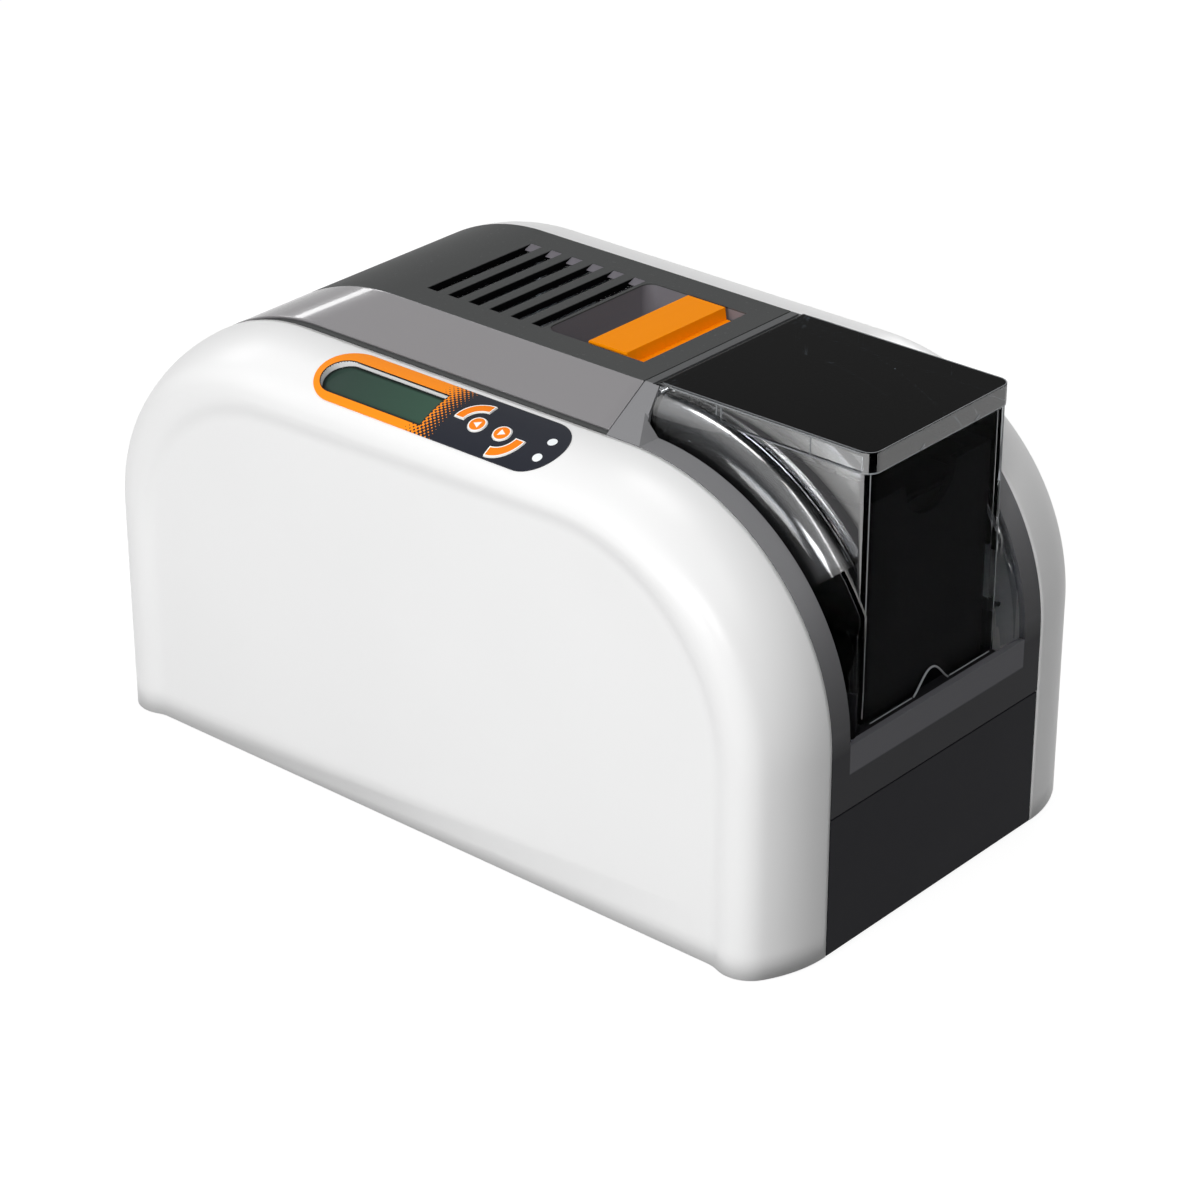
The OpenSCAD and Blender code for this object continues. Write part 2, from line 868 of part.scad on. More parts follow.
module ribbon_film() {
    outer = film_points(guide_bar_r + film_t);
    inner = film_points(guide_bar_r + 0.02);
    last = len(inner) - 1;
    color([0.55, 0.12, 0.30])
        across(-film_half, film_half)
            polygon(concat(outer, [for (k = [last:-1:0]) inner[k]]));
}

// ---------- top cover ----------

module well_outline(i = 0) {
    intersection() {
        union() {
            for (s = [-1, 1])
                translate([well_x0 + well_corner, s * (well_half - well_corner)])
                    circle(r = well_corner - i);
            translate([well_x0 + i, well_corner - well_half])
                square([well_corner, 2 * (well_half - well_corner)]);
            translate([well_x0 + well_corner, i - well_half])
                square([well_x1 - well_x0 - well_corner, 2 * (well_half - i)]);
        }
        translate([0, -50]) square([100, 100]);
    }
}

module lid_cover() {
    color(dark_c)
        difference() {
            union() {
                difference() {
                    across(-crown_half, crown_half)
                        difference() {
                            crown_2d();
                            crown_2d(skin, 0);
                        }
                    block([-far, -far, -1], [far, far, split_z + split_gap]);
                }
                lid_tub();
                lid_knuckles();
            }
            translate([0, 0, well_bottom]) linear_extrude(50) well_outline();
            tub_inside();
            // vents
            for (k = [0:vent_count - 1])
                block([-56.1 + 11.06 * k, -31.2, 190], [-50.24 + 11.06 * k, 31.2, 210]);
            // room for the fixed knuckles
            for (y = [18, 34.4, -25.4, -41.8])
                block([-165, y - 0.4, 130], [-146, y + 7.8, 141.5]);
            rod_y(hinge_at, pin_r + run_fit, -50, 50);
            rod_y(latch_at, pin_r, -well_half - tub_wall, well_half + tub_wall);
        }
}

// Tub under the latch, hung from the flat top
module lid_tub() {
    block([well_x0 - tub_wall, -well_half - tub_wall, well_bottom - tub_wall],
          [tub_end + tub_wall, well_half + tub_wall, crown_top - skin]);
}

module tub_inside() {
    translate([0, 0, well_bottom])
        block([well_x0 + well_corner, -well_half, 0],
              [tub_end, well_half, crown_top - skin - well_bottom]);
    // way for the hook through the floor and the front wall
    block([55, -7.5, 180], [tub_end + tub_wall + 1, 7.5, 191]);
}

module lid_knuckles() {
    for (y = [-30, 30]) {
        rod_y(hinge_at, hinge_r, y - 3.7, y + 3.7);
        block([-154, y - 3.7, hinge_at[1]], [-147.5, y + 3.7, 147]);
    }
}

module lid_strip() {
    color(grey_c)
        intersection() {
            crown_strip();
            split_space(split_z + split_gap);
        }
}

module near_lid_strip() {
    mirror([0, 1, 0]) lid_strip();
}

module far_lid_strip() {
    lid_strip();
}

// Frame under the top cover: plate, posts up to the cover, two stiffening flanges
module lid_frame() {
    top = 174;
    color(steel_c)
        difference() {
            union() {
                block([-80, -40, top - 3], [56, 40, top]);
                both_sides() {
                    block([-80, 38, top], [56, 40, top + 6]);
                    for (x = [-58, 48])
                        translate([x, 38, top]) cylinder(r = 3, h = crown_top - skin - top);
                }
            }
            for (y = [-22, 22]) translate([platen_x, y, 160]) cylinder(r = 3, h = 20);
            // opening that lets air up from the heat sink
            block([platen_x - 10, -14, 165], [platen_x + 10, 14, 180]);
        }
}

module hinge_pins() {
    color(steel_c) {
        both_sides() rod_y(hinge_at, pin_r, 18, 41.8);
        both_sides() rod_y(cover_pivot, pin_r, hopper_half - 8, cover_pin_end);
    }
}

// ---------- latch ----------

// Pull plate over the finger well, its riser, the ledge back to the pivot and the hook
module latch_handle() {
    color(orange_c)
        difference() {
            union() {
                across(-29.6, 29.6)
                    polygon([[27.3, 198.2], [27.3, 200.2], [28, 200.9], [46.8, 200.9],
                             [47.6, 195.9], [60, 195.9], [60, 193.4], [44.6, 193.4],
                             [44.2, 198.2]]);
                for (y = [-29.6, 16]) rod_y(latch_at, 3, y, y + 13.6);
                rod_y(latch_at, 3, -5, 5);
                across(-5, 5)
                    polygon([[57.4, 193], [60.4, 193], [63, 193], [66.4, 184.5], [66.4, 181.5],
                             [64, 181.5]]);
            }
            rod_y(latch_at, pin_r + run_fit, -40, 40);
            // room for the two torsion springs
            both_sides() block([56.8, 5.2, 190], [70, 15.8, 199]);
        }
}

module latch_pin() {
    color(steel_c)
        rod_y(latch_at, pin_r, -well_half - tub_wall, well_half + tub_wall);
}

// Torsion spring: close turns round the pin and a leg under the ledge
module latch_spring() {
    wire = 0.45;
    turn_r = 2.35;
    color(steel_c)
        both_sides() {
            for (k = [0:7])
                translate([latch_at[0], 6.5 + k * 1.1, latch_at[1]])
                    rotate([90, 0, 0])
                        rotate_extrude() translate([turn_r, 0]) circle(r = wire, $fn = 16);
            translate([latch_at[0] - 10, 9, latch_at[1] - 0.2])
                rotate([0, 90, 0]) cylinder(r = wire, h = 8, $fn = 16);
        }
}

// ---------- print head ----------

module head_bracket() {
    color(steel_c) {
        block([platen_x - 15, -34, 148], [platen_x + 15, 34, 151]);
        both_sides() block([platen_x - 11, 31, 100], [platen_x + 11, 34, 148]);
        for (y = [-22, 22]) translate([platen_x, y, 151]) cylinder(r = 2.6, h = 26);
    }
}

module head_springs() {
    wire = 0.6;
    color(steel_c)
        for (y = [-22, 22])
            for (k = [0:9])
                translate([platen_x, y, 151 + wire + k * (20 - 2 * wire) / 9])
                    rotate_extrude() translate([4.2, 0]) circle(r = wire, $fn = 16);
}

module heat_sink() {
    color([0.75, 0.76, 0.78]) {
        block([platen_x - 11, -31, 100], [platen_x + 11, 31, 106]);
        for (k = [0:8])
            block([platen_x - 11 + k * 2.5, -31, 106], [platen_x - 9.8 + k * 2.5, 31, 128]);
    }
}

module print_head() {
    color([0.85, 0.84, 0.80])
        across(-33, 33)
            polygon([[platen_x - 9, 100], [platen_x - 9, 95], [platen_x - 3, head_tip_z],
                     [platen_x + 3, head_tip_z], [platen_x + 9, 95], [platen_x + 9, 100]]);
}

// ---------- hopper ----------

// Plan of the clear box, round at its two front corners
module cover_plan(half, front, i) {
    r = 5;
    translate([cover_rear_x, i - half]) square([front - r - cover_rear_x, 2 * (half - i)]);
    translate([front - r - 1, i - half + (r - i)])
        square([r + 1 - i, 2 * (half - i) - 2 * (r - i)]);
    for (s = [-1, 1]) translate([front - r, s * (half - r)]) circle(r = r - i);
}

// Outer form of the clear cover, inset by i: the box, its rim and the two rounded flanges
module cover_form(i) {
    box_front = front_x - 3.9;
    low = i > 0 ? sill_top - 2 : sill_top + 0.3;
    translate([0, 0, low])
        linear_extrude(hopper_top - 8.7 - low)
            cover_plan(hopper_half - 0.6, box_front - 0.6, i);
    translate([0, 0, hopper_top - 8.7 - i])
        linear_extrude(8.7) cover_plan(hopper_half, box_front, i);
    both_sides()
        intersection() {
            flange_sweep(i);
            translate([0, 0, low])
                linear_extrude(far)
                    polygon([[flange_top_x + i, hopper_half - 2], [flange_top_x + i, hopper_half],
                             [flange_rear_x + i, hopper_half + flange_round],
                             [front_x - 0.4 - i, bezel_in], [box_front - 0.6 - i, hopper_half],
                             [box_front - 0.6 - i, hopper_half - 2]]);
        }
}

// The flange along the arch: flat at the front, a full round above the crease
module flange_sweep(i) {
    along_arch() flange_foot_2d(i);
    intersection() {
        union() {
            along_arch() flange_round_2d(i);
            translate([flange_top_x + i, 0, front_cz])
                rotate([90, 0, 90])
                    linear_extrude(front_cx + 0.01 - flange_top_x - i)
                        translate([hopper_half, front_r]) mirror([1, -1]) flange_round_2d(i);
        }
        translate([front_cx, 0, front_cz])
            rotate([0, -flange_crease - (i > 0 ? 1.2 : 0), 0])
                translate([-far / 2, 0, 0]) cube([far, far, far]);
    }
}

// Carries a section of the flange round the front of the arch
module along_arch() {
    translate([front_cx, 0, front_cz])
        rotate([90, 0, 0])
            rotate_extrude(angle = 90)
                mirror([0, 1]) translate([front_r, hopper_half]) children();
}

// Round section of the flange, X away from the arch and Y away from the box; i insets it
module flange_round_2d(i) {
    intersection() {
        circle(r = flange_round - i);
        square(flange_round);
    }
    flange_lip_2d(i, flange_round - 1);
}

// Flat section of the flange
module flange_foot_2d(i) {
    slant = norm([flange_foot, flange_round]);
    polygon([[-1, 0], [flange_foot - i * slant / flange_round, 0],
             [0, flange_round - i * slant / flange_foot], [-1, flange_round - i]]);
    flange_lip_2d(i, flange_foot);
}

// The part of either section that reaches down through the bezel and in to the box
module flange_lip_2d(i, top) {
    translate([-flange_lip - (i > 0 ? 1 : 0), i > 0 ? 0 : -1])
        square([flange_lip + (i > 0 ? 1 : 0), flange_round - i + (i > 0 ? 0 : 1)]);
    if (i == 0) translate([0, -1]) square([top, 1]);
}

module clear_cover() {
    color([0.35, 0.36, 0.38, 0.45])
        difference() {
            union() {
                difference() {
                    cover_form(0);
                    cover_form(clear_wall);
                    block([0, -far, 0], [cover_pivot[0], far, far]);
                }
                rod_y(cover_pivot, 3.4, -hopper_half, hopper_half);
            }
            rod_y(cover_pivot, pin_r + run_fit, -50, 50);
            // finger notch in the lower front edge
            translate([front_x - 20, 0, sill_top])
                rotate([90, 0, 90])
                    linear_extrude(30)
                        polygon([for (a = [-12:2:12]) [a, notch_h * pow(cos(a * 7.5), 1.5)]]);
        }
}

// Black card cassette: tall tray open at the top, slotted for the pick roller
module card_cassette() {
    x0 = card_x - card_len / 2 - 1.5;
    x1 = card_x + card_len / 2 + 1;
    half = card_w / 2 + 0.6;
    color(black_c)
        difference() {
            block([x0 - 2.5, -38, well_floor], [x1 + 3.5, 38, 178]);
            block([x0, -half, well_floor + 1], [x1, half, 180]);
            block([pick_x - 12, -roller_half - 1.5, 80],
                  [pick_x + 12, roller_half + 1.5, path_z + 0.8]);
            // feed mouth at the rear, one card high
            block([x0 - 8, -half, well_floor + 1], [x0 + 1, half, well_floor + 3]);
            // finger cut-out in the front wall
            translate([x1 - 3, 0, 178])
                rotate([0, 90, 0]) cylinder(r = 16, h = 12);
            // hollow ribs in the two thick sides
            both_sides()
                for (x = [x0 + 4:15:x1 - 14])
                    block([x, half + 2, well_floor + 3], [x + 12, 36.5, 180]);
        }
}

module card_stack() {
    color([0.96, 0.96, 0.94])
        block([card_x - card_len / 2, -card_w / 2, path_z + 0.3],
              [card_x + card_len / 2, card_w / 2, path_z + 0.3 + card_count * card_t]);
}

// ---------- controls ----------

module control_panel() {
    color(black_c)
        on_panel()
            difference() {
                intersection() {
                    panel_drum(shoulder_big_r + panel_proud);
                    linear_extrude(70) panel_outline();
                }
                panel_drum(shoulder_big_r + panel_proud - panel_film);
                translate([0, 0, 40]) linear_extrude(30) panel_holes();
            }
}

// Small board behind the keys, with a dome switch under each
module control_board() {
    color(board_c)
        on_panel() {
            block([-60, -12, 42.4], [59, 10, 44]);
            for (p = [left_key_at, right_key_at, left_key_at + [-7, 6.5], right_key_at + [6.5, -7]])
                translate([p[0], p[1], 44]) cylinder(r = 2.5, h = 2.8);
        }
}

module lcd_module() {
    color([0.16, 0.24, 0.20])
        on_panel() {
            translate([0, 0, 44]) linear_extrude(7.2) window_outline(0.3);
            block([window_x0 + 1, -11, 44], [window_x1 + 1, 9, 47.5]);
        }
}

module back_key() {
    color(orange_c) on_panel() key_solid() { back_key_outline(); back_key_outline(0.9); }
}

module left_key() {
    color(orange_c) on_panel() key_solid() { left_key_outline(); left_key_outline(0.9); }
}

module right_key() {
    color(orange_c) on_panel() key_solid() { right_key_outline(); right_key_outline(0.9); }
}

module enter_key() {
    color(orange_c) on_panel() key_solid() { enter_key_outline(); enter_key_outline(0.9); }
}

// Two light pipes standing on the control board
module status_lights() {
    color([0.95, 0.97, 0.98])
        on_panel()
            intersection() {
                for (p = light_at) translate([p[0], p[1], 44]) cylinder(r = light_r, h = 12);
                panel_drum(shoulder_big_r + panel_proud);
            }
}

// ---------- electronics and rear connectors ----------

module main_board() {
    color(board_c) {
        block([-140, -plate_in - 22, 8], [60, -plate_in - 20.4, 108]);
        for (p = [[-100, 30], [-60, 70], [0, 40], [20, 80]])
            block([p[0], -plate_in - 26, p[1]], [p[0] + 18, -plate_in - 22, p[1] + 18]);
        for (x = [-130, 50])
            for (z = [20, 72])
                translate([x, -plate_in - plate_t, z])
                    rotate([90, 0, 0]) cylinder(r = 3, h = 20.4 - plate_t);
    }
}

module power_supply() {
    color(steel_c)
        difference() {
            block([-120, 56, base_top], [-20, 94, 50]);
            for (x = [-112:10:-32]) block([x, 50, 12], [x + 4, 58, 42]);
        }
}

// Socket body with its three blades, and the frame that the rocker sits in
module power_inlet() {
    color(black_c)
        difference() {
            block([crown_rear_x - 1, -38, 20], [-138, -10, 42]);
            block([crown_rear_x - 2, -36, 23], [-144, -24.5, 39]);
            block([crown_rear_x - 2, -21.5, 23], [-144, -12.5, 39]);
            rod_y([-152, 31], 1.5, -23, -11);
        }
    color(steel_c)
        for (p = [[-33.5, 31], [-30, 27], [-30, 35]])
            block([-150, p[0] - 0.8, p[1] - 1.2], [-144, p[0] + 0.8, p[1] + 1.2]);
}

// Rocker: two sloping halves on a cross pin
module rocker_switch() {
    color(black_c) {
        across(-21.2, -12.8)
            translate([-152, 31])
                polygon([[-4, -7], [-5.2, -6.6], [-4.6, 0], [-6.6, 6.6], [-5.4, 7], [3, 3], [3, -3]]);
        rod_y([-152, 31], 1.44, -22.9, -11.1);
    }
}

module usb_socket() {
    color(steel_c)
        difference() {
            block([crown_rear_x, 10.5, 26.5], [-140, 23.5, 37.5]);
            block([crown_rear_x - 1, 11.5, 27.5], [-144, 22.5, 36.5]);
        }
    color(black_c) block([-150, 14, 30], [-144, 20, 34]);
}

near_side_shell();
far_side_shell();
front_panel();
hopper_bezel();
hopper_well();
rear_panel();
base_plate();
rubber_feet();
near_chassis_plate();
far_chassis_plate();
card_bed();
pick_roller();
pick_spindle();
feed_roller();
feed_spindle();
platen_roller();
platen_spindle();
exit_roller();
exit_spindle();
hopper_idler_gear();
middle_idler_gear();
rear_idler_gear();
motor_pinion();
drive_motor();
feed_pinch_roller();
exit_pinch_roller();
ribbon_cassette();
supply_spool();
take_up_spool();
ribbon_film();
lid_cover();
near_lid_strip();
far_lid_strip();
lid_frame();
hinge_pins();
latch_handle();
latch_pin();
latch_spring();
head_bracket();
head_springs();
heat_sink();
print_head();
clear_cover();
card_cassette();
card_stack();
control_panel();
control_board();
lcd_module();
back_key();
left_key();
right_key();
enter_key();
status_lights();
main_board();
power_supply();
power_inlet();
usb_socket();
rocker_switch();
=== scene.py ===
"""Desk-top ID card printer: the finish of every surface, the smooth casing shells, the trim and
the studio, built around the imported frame. Lengths are in millimetres until a mesh is finished, and
the camera and the lamps stand in metres."""

import json
from math import asin, atan2, cos, pi, radians, sin, sqrt

import bmesh
import bpy
from mathutils import Matrix, Vector


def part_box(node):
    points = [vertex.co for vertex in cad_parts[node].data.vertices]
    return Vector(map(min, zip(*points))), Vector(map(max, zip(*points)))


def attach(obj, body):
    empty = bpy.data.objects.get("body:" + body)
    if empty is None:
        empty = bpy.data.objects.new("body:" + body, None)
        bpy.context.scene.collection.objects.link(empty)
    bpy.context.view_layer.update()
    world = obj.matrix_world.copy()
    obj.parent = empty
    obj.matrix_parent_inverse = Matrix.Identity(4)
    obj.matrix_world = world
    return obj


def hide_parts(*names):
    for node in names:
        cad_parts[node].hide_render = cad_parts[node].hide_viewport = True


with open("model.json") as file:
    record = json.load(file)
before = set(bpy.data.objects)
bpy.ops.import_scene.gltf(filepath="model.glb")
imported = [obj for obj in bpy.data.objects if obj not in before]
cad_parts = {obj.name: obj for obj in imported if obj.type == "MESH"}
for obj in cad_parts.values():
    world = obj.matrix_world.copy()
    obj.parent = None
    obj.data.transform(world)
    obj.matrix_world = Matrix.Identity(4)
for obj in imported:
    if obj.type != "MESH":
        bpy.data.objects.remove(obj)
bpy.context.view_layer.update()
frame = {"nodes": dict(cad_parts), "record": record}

MM = 0.001


# ---------- camera and studio ----------

CAMERA_PLACE = (0.8961, -1.0304, 0.7702)
CAMERA_TURN, CAMERA_HEIGHT = radians(40.77), radians(27.22)
SENSOR_WIDTH, LENS = 36, 112.45
PRINTER_MIDDLE, LENGTHWAYS = (0, 0, 0.1), (1, 0, 0)
# name, place, target, size, watts, direction of the first side
LAMPS = (
    ("side_light", (-0.05, -2.0, 0.75), PRINTER_MIDDLE, (0.8, 0.6), 24.5, LENGTHWAYS),
    ("front_light", (1.0, -1.4, 1.1), PRINTER_MIDDLE, (0.45, 0.4), 12, LENGTHWAYS),
    ("strip_light", (-0.1, 0.25, 1.49), (0.08, -0.05, 0.19), (0.80, 0.16), 5.6, (0.80, -0.15, 0)),
    ("streak_light", (1.07, -0.12, 1.49), (0.15, -0.05, 0.17), (1.10, 0.09), 4, (0.93, -0.36, 0)),
    ("patch_light", (-0.22, -1.10, 0.11), (0.13, -0.05, 0.17), (0.12, 0.06), 1, LENGTHWAYS),
    ("rear_light", (-1.36, 0.17, 1.14), (-0.1, -0.06, 0.18), (0.6, 0.2), 3, (-0.53, -0.63, -0.56)),
    ("back_light", (-0.6, 1.9, 0.7), PRINTER_MIDDLE, (0.6, 0.5), 6, LENGTHWAYS),
)
AMBIENT = 0.04
FLOOR_HALF, FLOOR_SHADE, FLOOR_GLOW = 6, 0.22, 0.90


def make_camera():
    """Looks down at the near front corner with a long lens."""
    level = cos(CAMERA_HEIGHT)
    back = Vector((sin(CAMERA_TURN) * level, -cos(CAMERA_TURN) * level, sin(CAMERA_HEIGHT)))
    data = bpy.data.cameras.new("camera")
    data.sensor_width = SENSOR_WIDTH
    data.lens = LENS
    camera = bpy.data.objects.new("camera", data)
    camera.location = CAMERA_PLACE
    camera.rotation_euler = (-back).to_track_quat("-Z", "Y").to_euler()
    bpy.context.scene.collection.objects.link(camera)
    bpy.context.scene.camera = camera


make_camera()


def srgb(red, green, blue):
    """A colour given as 0 to 255, as the renderer needs it."""
    return tuple((c / 255 / 12.92) if c <= 10 else ((c / 255 + 0.055) / 1.055) ** 2.4
                 for c in (red, green, blue)) + (1,)


def seen_ray(nodes, links):
    """1 on rays that come straight from the camera or from a mirror or clear surface."""
    path = nodes.new("ShaderNodeLightPath")
    total = path.outputs["Is Camera Ray"]
    for name in ("Is Glossy Ray", "Is Transmission Ray"):
        add = nodes.new("ShaderNodeMath")
        add.operation = "MAXIMUM"
        links.new(total, add.inputs[0])
        links.new(path.outputs[name], add.inputs[1])
        total = add.outputs[0]
    return total


def make_world():
    """White where it is seen, far dimmer where it lights."""
    world = bpy.data.worlds.new("studio_world")
    bpy.context.scene.world = world
    world.use_nodes = True
    nodes, links = world.node_tree.nodes, world.node_tree.links
    back = nodes["Background"]
    back.inputs["Color"].default_value = (1, 1, 1, 1)
    level = nodes.new("ShaderNodeMapRange")
    links.new(seen_ray(nodes, links), level.inputs["Value"])
    level.inputs["To Min"].default_value = AMBIENT
    level.inputs["To Max"].default_value = 1
    links.new(level.outputs["Result"], back.inputs["Strength"])


def make_lamp(name, place, target, size, power, along):
    """A rectangular lamp that faces the target, its first side laid along a direction."""
    data = bpy.data.lights.new(name, "AREA")
    data.shape = "RECTANGLE"
    data.size, data.size_y = size
    data.energy = power
    lamp = bpy.data.objects.new(name, data)
    lamp.location = place
    back = (Vector(place) - Vector(target)).normalized()
    across = (Vector(along) - back * back.dot(Vector(along))).normalized()
    lamp.rotation_euler = Matrix((across, back.cross(across), back)).transposed().to_euler()
    bpy.context.scene.collection.objects.link(lamp)


def make_floor():
    """Matt sheet under the printer that shows as white."""
    bm = bmesh.new()
    bmesh.ops.create_grid(bm, x_segments=1, y_segments=1, size=FLOOR_HALF)
    mesh = bpy.data.meshes.new("floor")
    bm.to_mesh(mesh)
    bm.free()
    floor = bpy.data.objects.new("floor", mesh)
    bpy.context.scene.collection.objects.link(floor)
    paint = bpy.data.materials.new("studio_floor")
    paint.use_nodes = True
    nodes, links = paint.node_tree.nodes, paint.node_tree.links
    nodes.clear()
    out = nodes.new("ShaderNodeOutputMaterial")
    both = nodes.new("ShaderNodeAddShader")
    matt = nodes.new("ShaderNodeBsdfDiffuse")
    matt.inputs["Color"].default_value = (FLOOR_SHADE, FLOOR_SHADE, FLOOR_SHADE, 1)
    glow = nodes.new("ShaderNodeEmission")
    level = nodes.new("ShaderNodeMath")
    level.operation = "MULTIPLY"
    level.inputs[1].default_value = FLOOR_GLOW
    links.new(seen_ray(nodes, links), level.inputs[0])
    links.new(level.outputs[0], glow.inputs["Strength"])
    links.new(matt.outputs[0], both.inputs[0])
    links.new(glow.outputs[0], both.inputs[1])
    links.new(both.outputs[0], out.inputs["Surface"])
    mesh.materials.append(paint)


def make_studio():
    """White surround, lamps and floor."""
    bpy.context.scene.view_settings.view_transform = "Standard"
    make_world()
    for lamp in LAMPS:
        make_lamp(*lamp)
    make_floor()


# ---------- shader groups ----------

# colour sockets of the Mix node, which share their names with others
MIX_FIRST, MIX_SECOND, MIX_RESULT = 6, 7, 2
BROAD_SCALE, DRIFT_SCALE, SPECK_SCALE = 18.0, 9.0, 700.0
SPECK_LEVELS = (0.66, 0.74)
DUST_COLOR = (0.55, 0.55, 0.55, 1)


def new_group(name, ins, outs):
    """A shader group with the named inputs (name, kind, value) and outputs (name, kind)."""
    group = bpy.data.node_groups.new(name, "ShaderNodeTree")
    for label, kind, value in ins:
        item = group.interface.new_socket(label, in_out="INPUT", socket_type="NodeSocket" + kind)
        if value is not None:
            item.default_value = value
    for label, kind in outs:
        group.interface.new_socket(label, in_out="OUTPUT", socket_type="NodeSocket" + kind)
    return group, group.nodes.new("NodeGroupInput"), group.nodes.new("NodeGroupOutput")


class Wires:
    """Short calls for putting nodes in a tree and joining them. A mask is 1 inside, 0 outside."""

    def __init__(self, tree):
        self.tree = tree

    def node(self, kind, **settings):
        made = self.tree.nodes.new("ShaderNode" + kind)
        for key, value in settings.items():
            setattr(made, key, value)
        return made

    def put(self, socket, value):
        if isinstance(value, bpy.types.NodeSocket):
            self.tree.links.new(value, socket)
        else:
            socket.default_value = value

    def math(self, operation, a, b=0.0, c=None):
        made = self.node("Math", operation=operation)
        self.put(made.inputs[0], a)
        self.put(made.inputs[1], b)
        if c is not None:
            self.put(made.inputs[2], c)
        return made.outputs[0]

    def above(self, value, limit):
        return self.math("GREATER_THAN", value, limit)

    def below(self, value, limit):
        return self.math("LESS_THAN", value, limit)

    def between(self, value, low, high):
        return self.product(self.above(value, low), self.below(value, high))

    def product(self, first, *others):
        for other in others:
            first = self.math("MULTIPLY", first, other)
        return first

    def length(self, a, b):
        """Length of a flat vector from its two parts."""
        return self.math("SQRT", self.math("ADD", self.product(a, a), self.product(b, b)))

    def split(self, vector):
        """The three parts of a vector."""
        made = self.node("SeparateXYZ")
        self.put(made.inputs[0], vector)
        return tuple(made.outputs)

    def dot(self, vector, direction):
        made = self.node("VectorMath", operation="DOT_PRODUCT")
        self.put(made.inputs[0], vector)
        self.put(made.inputs[1], direction)
        return made.outputs["Value"]

    def noise(self, vector, scale, detail=2.0, rough=0.5):
        made = self.node("TexNoise")
        self.put(made.inputs["Vector"], vector)
        self.put(made.inputs["Scale"], scale)
        self.put(made.inputs["Detail"], detail)
        self.put(made.inputs["Roughness"], rough)
        return made.outputs["Fac"]

    def remap(self, value, from_low, from_high, low, high):
        made = self.node("MapRange")
        self.put(made.inputs["Value"], value)
        self.put(made.inputs["From Min"], from_low)
        self.put(made.inputs["From Max"], from_high)
        self.put(made.inputs["To Min"], low)
        self.put(made.inputs["To Max"], high)
        return made.outputs["Result"]

    def mix(self, mask, a, b):
        made = self.node("Mix", data_type="RGBA")
        self.put(made.inputs["Factor"], mask)
        self.put(made.inputs[MIX_FIRST], a)
        self.put(made.inputs[MIX_SECOND], b)
        return made.outputs[MIX_RESULT]

    def bump(self, height, strength, distance):
        made = self.node("Bump")
        self.put(made.inputs["Height"], height)
        made.inputs["Strength"].default_value = strength
        made.inputs["Distance"].default_value = distance
        return made.outputs["Normal"]

    def use(self, group, **values):
        made = self.tree.nodes.new("ShaderNodeGroup")
        made.node_tree = group
        for key, value in values.items():
            self.put(made.inputs[key], value)
        return made


def build_grain():
    """Moulded grain: a height and an uneven gloss, at a scale in grains per metre."""
    group, into, out = new_group(
        "moulded_grain",
        [("Vector", "Vector", None), ("Scale", "Float", 2500.0), ("Gloss", "Float", 0.4),
         ("Uneven", "Float", 0.08)],
        [("Height", "Float"), ("Roughness", "Float")])
    w = Wires(group)
    fine = w.noise(into.outputs["Vector"], into.outputs["Scale"], 3.0, 0.6)
    broad = w.noise(into.outputs["Vector"], BROAD_SCALE, 3.0, 0.55)
    spread = w.product(w.math("SUBTRACT", broad, 0.5), into.outputs["Uneven"])
    group.links.new(fine, out.inputs["Height"])
    group.links.new(w.math("ADD", into.outputs["Gloss"], spread), out.inputs["Roughness"])
    return group


def build_tone():
    """Slow change of colour over a moulding, with a little dust lying on faces that look up."""
    group, into, out = new_group(
        "moulded_tone",
        [("Vector", "Vector", None), ("Color", "Color", None), ("Spread", "Float", 0.05),
         ("Dust", "Float", 0.0)],
        [("Color", "Color")])
    w = Wires(group)
    slow = w.noise(into.outputs["Vector"], DRIFT_SCALE)
    shade = w.math("ADD", 1.0, w.product(w.math("SUBTRACT", slow, 0.5), into.outputs["Spread"]))
    scale = w.node("VectorMath", operation="SCALE")
    w.put(scale.inputs[0], into.outputs["Color"])
    w.put(scale.inputs["Scale"], shade)
    up = w.dot(w.node("NewGeometry").outputs["Normal"], (0, 0, 1))
    specks = w.remap(w.noise(into.outputs["Vector"], SPECK_SCALE), *SPECK_LEVELS, 0.0, 1.0)
    mask = w.product(specks, w.math("MAXIMUM", up, 0.0), into.outputs["Dust"])
    group.links.new(w.mix(mask, scale.outputs[0], DUST_COLOR), out.inputs["Color"])
    return group


GRAIN = build_grain()
TONE = build_tone()


# ---------- materials ----------

MATERIALS = {}
# a dark plastic that mirrors little
DULL = {"IOR": 1.15}
GRAIN_BUMP = 0.5
LINE_SCALE, LINE_BUMP, LINE_DEPTH = 60.0, 0.25, 0.02
LINE_LEVELS, LINE_SMOOTHER, LINE_ROUGHER = (0.3, 0.7), 0.08, 0.10
TRACK_SCALE, TRACK_WIDTH = 260.0, 0.06
COVER_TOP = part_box("clear_cover")[1].z / MM
# flat top of the casing above the foot of the front panel
CROWN_OVER_FOOT = 198.4
CROWN_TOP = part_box("front_panel")[0].z / MM + CROWN_OVER_FOOT
# vent slots of the top cover: how many, rear end of the first, pitch, width, half length
VENTS, VENT_REAR, VENT_PITCH, VENT_WIDTH, VENT_HALF = 6, -56.0, 11.06, 5.7, 31.1
VENT_FRONT = VENT_REAR + VENT_PITCH * (VENTS - 1) + VENT_WIDTH
VENT_MARGIN, WELL_HALF = 0.4, 36
# how far below the crown the colour changes
VENT_SINK, WELL_SINK = 0.3, 0.6
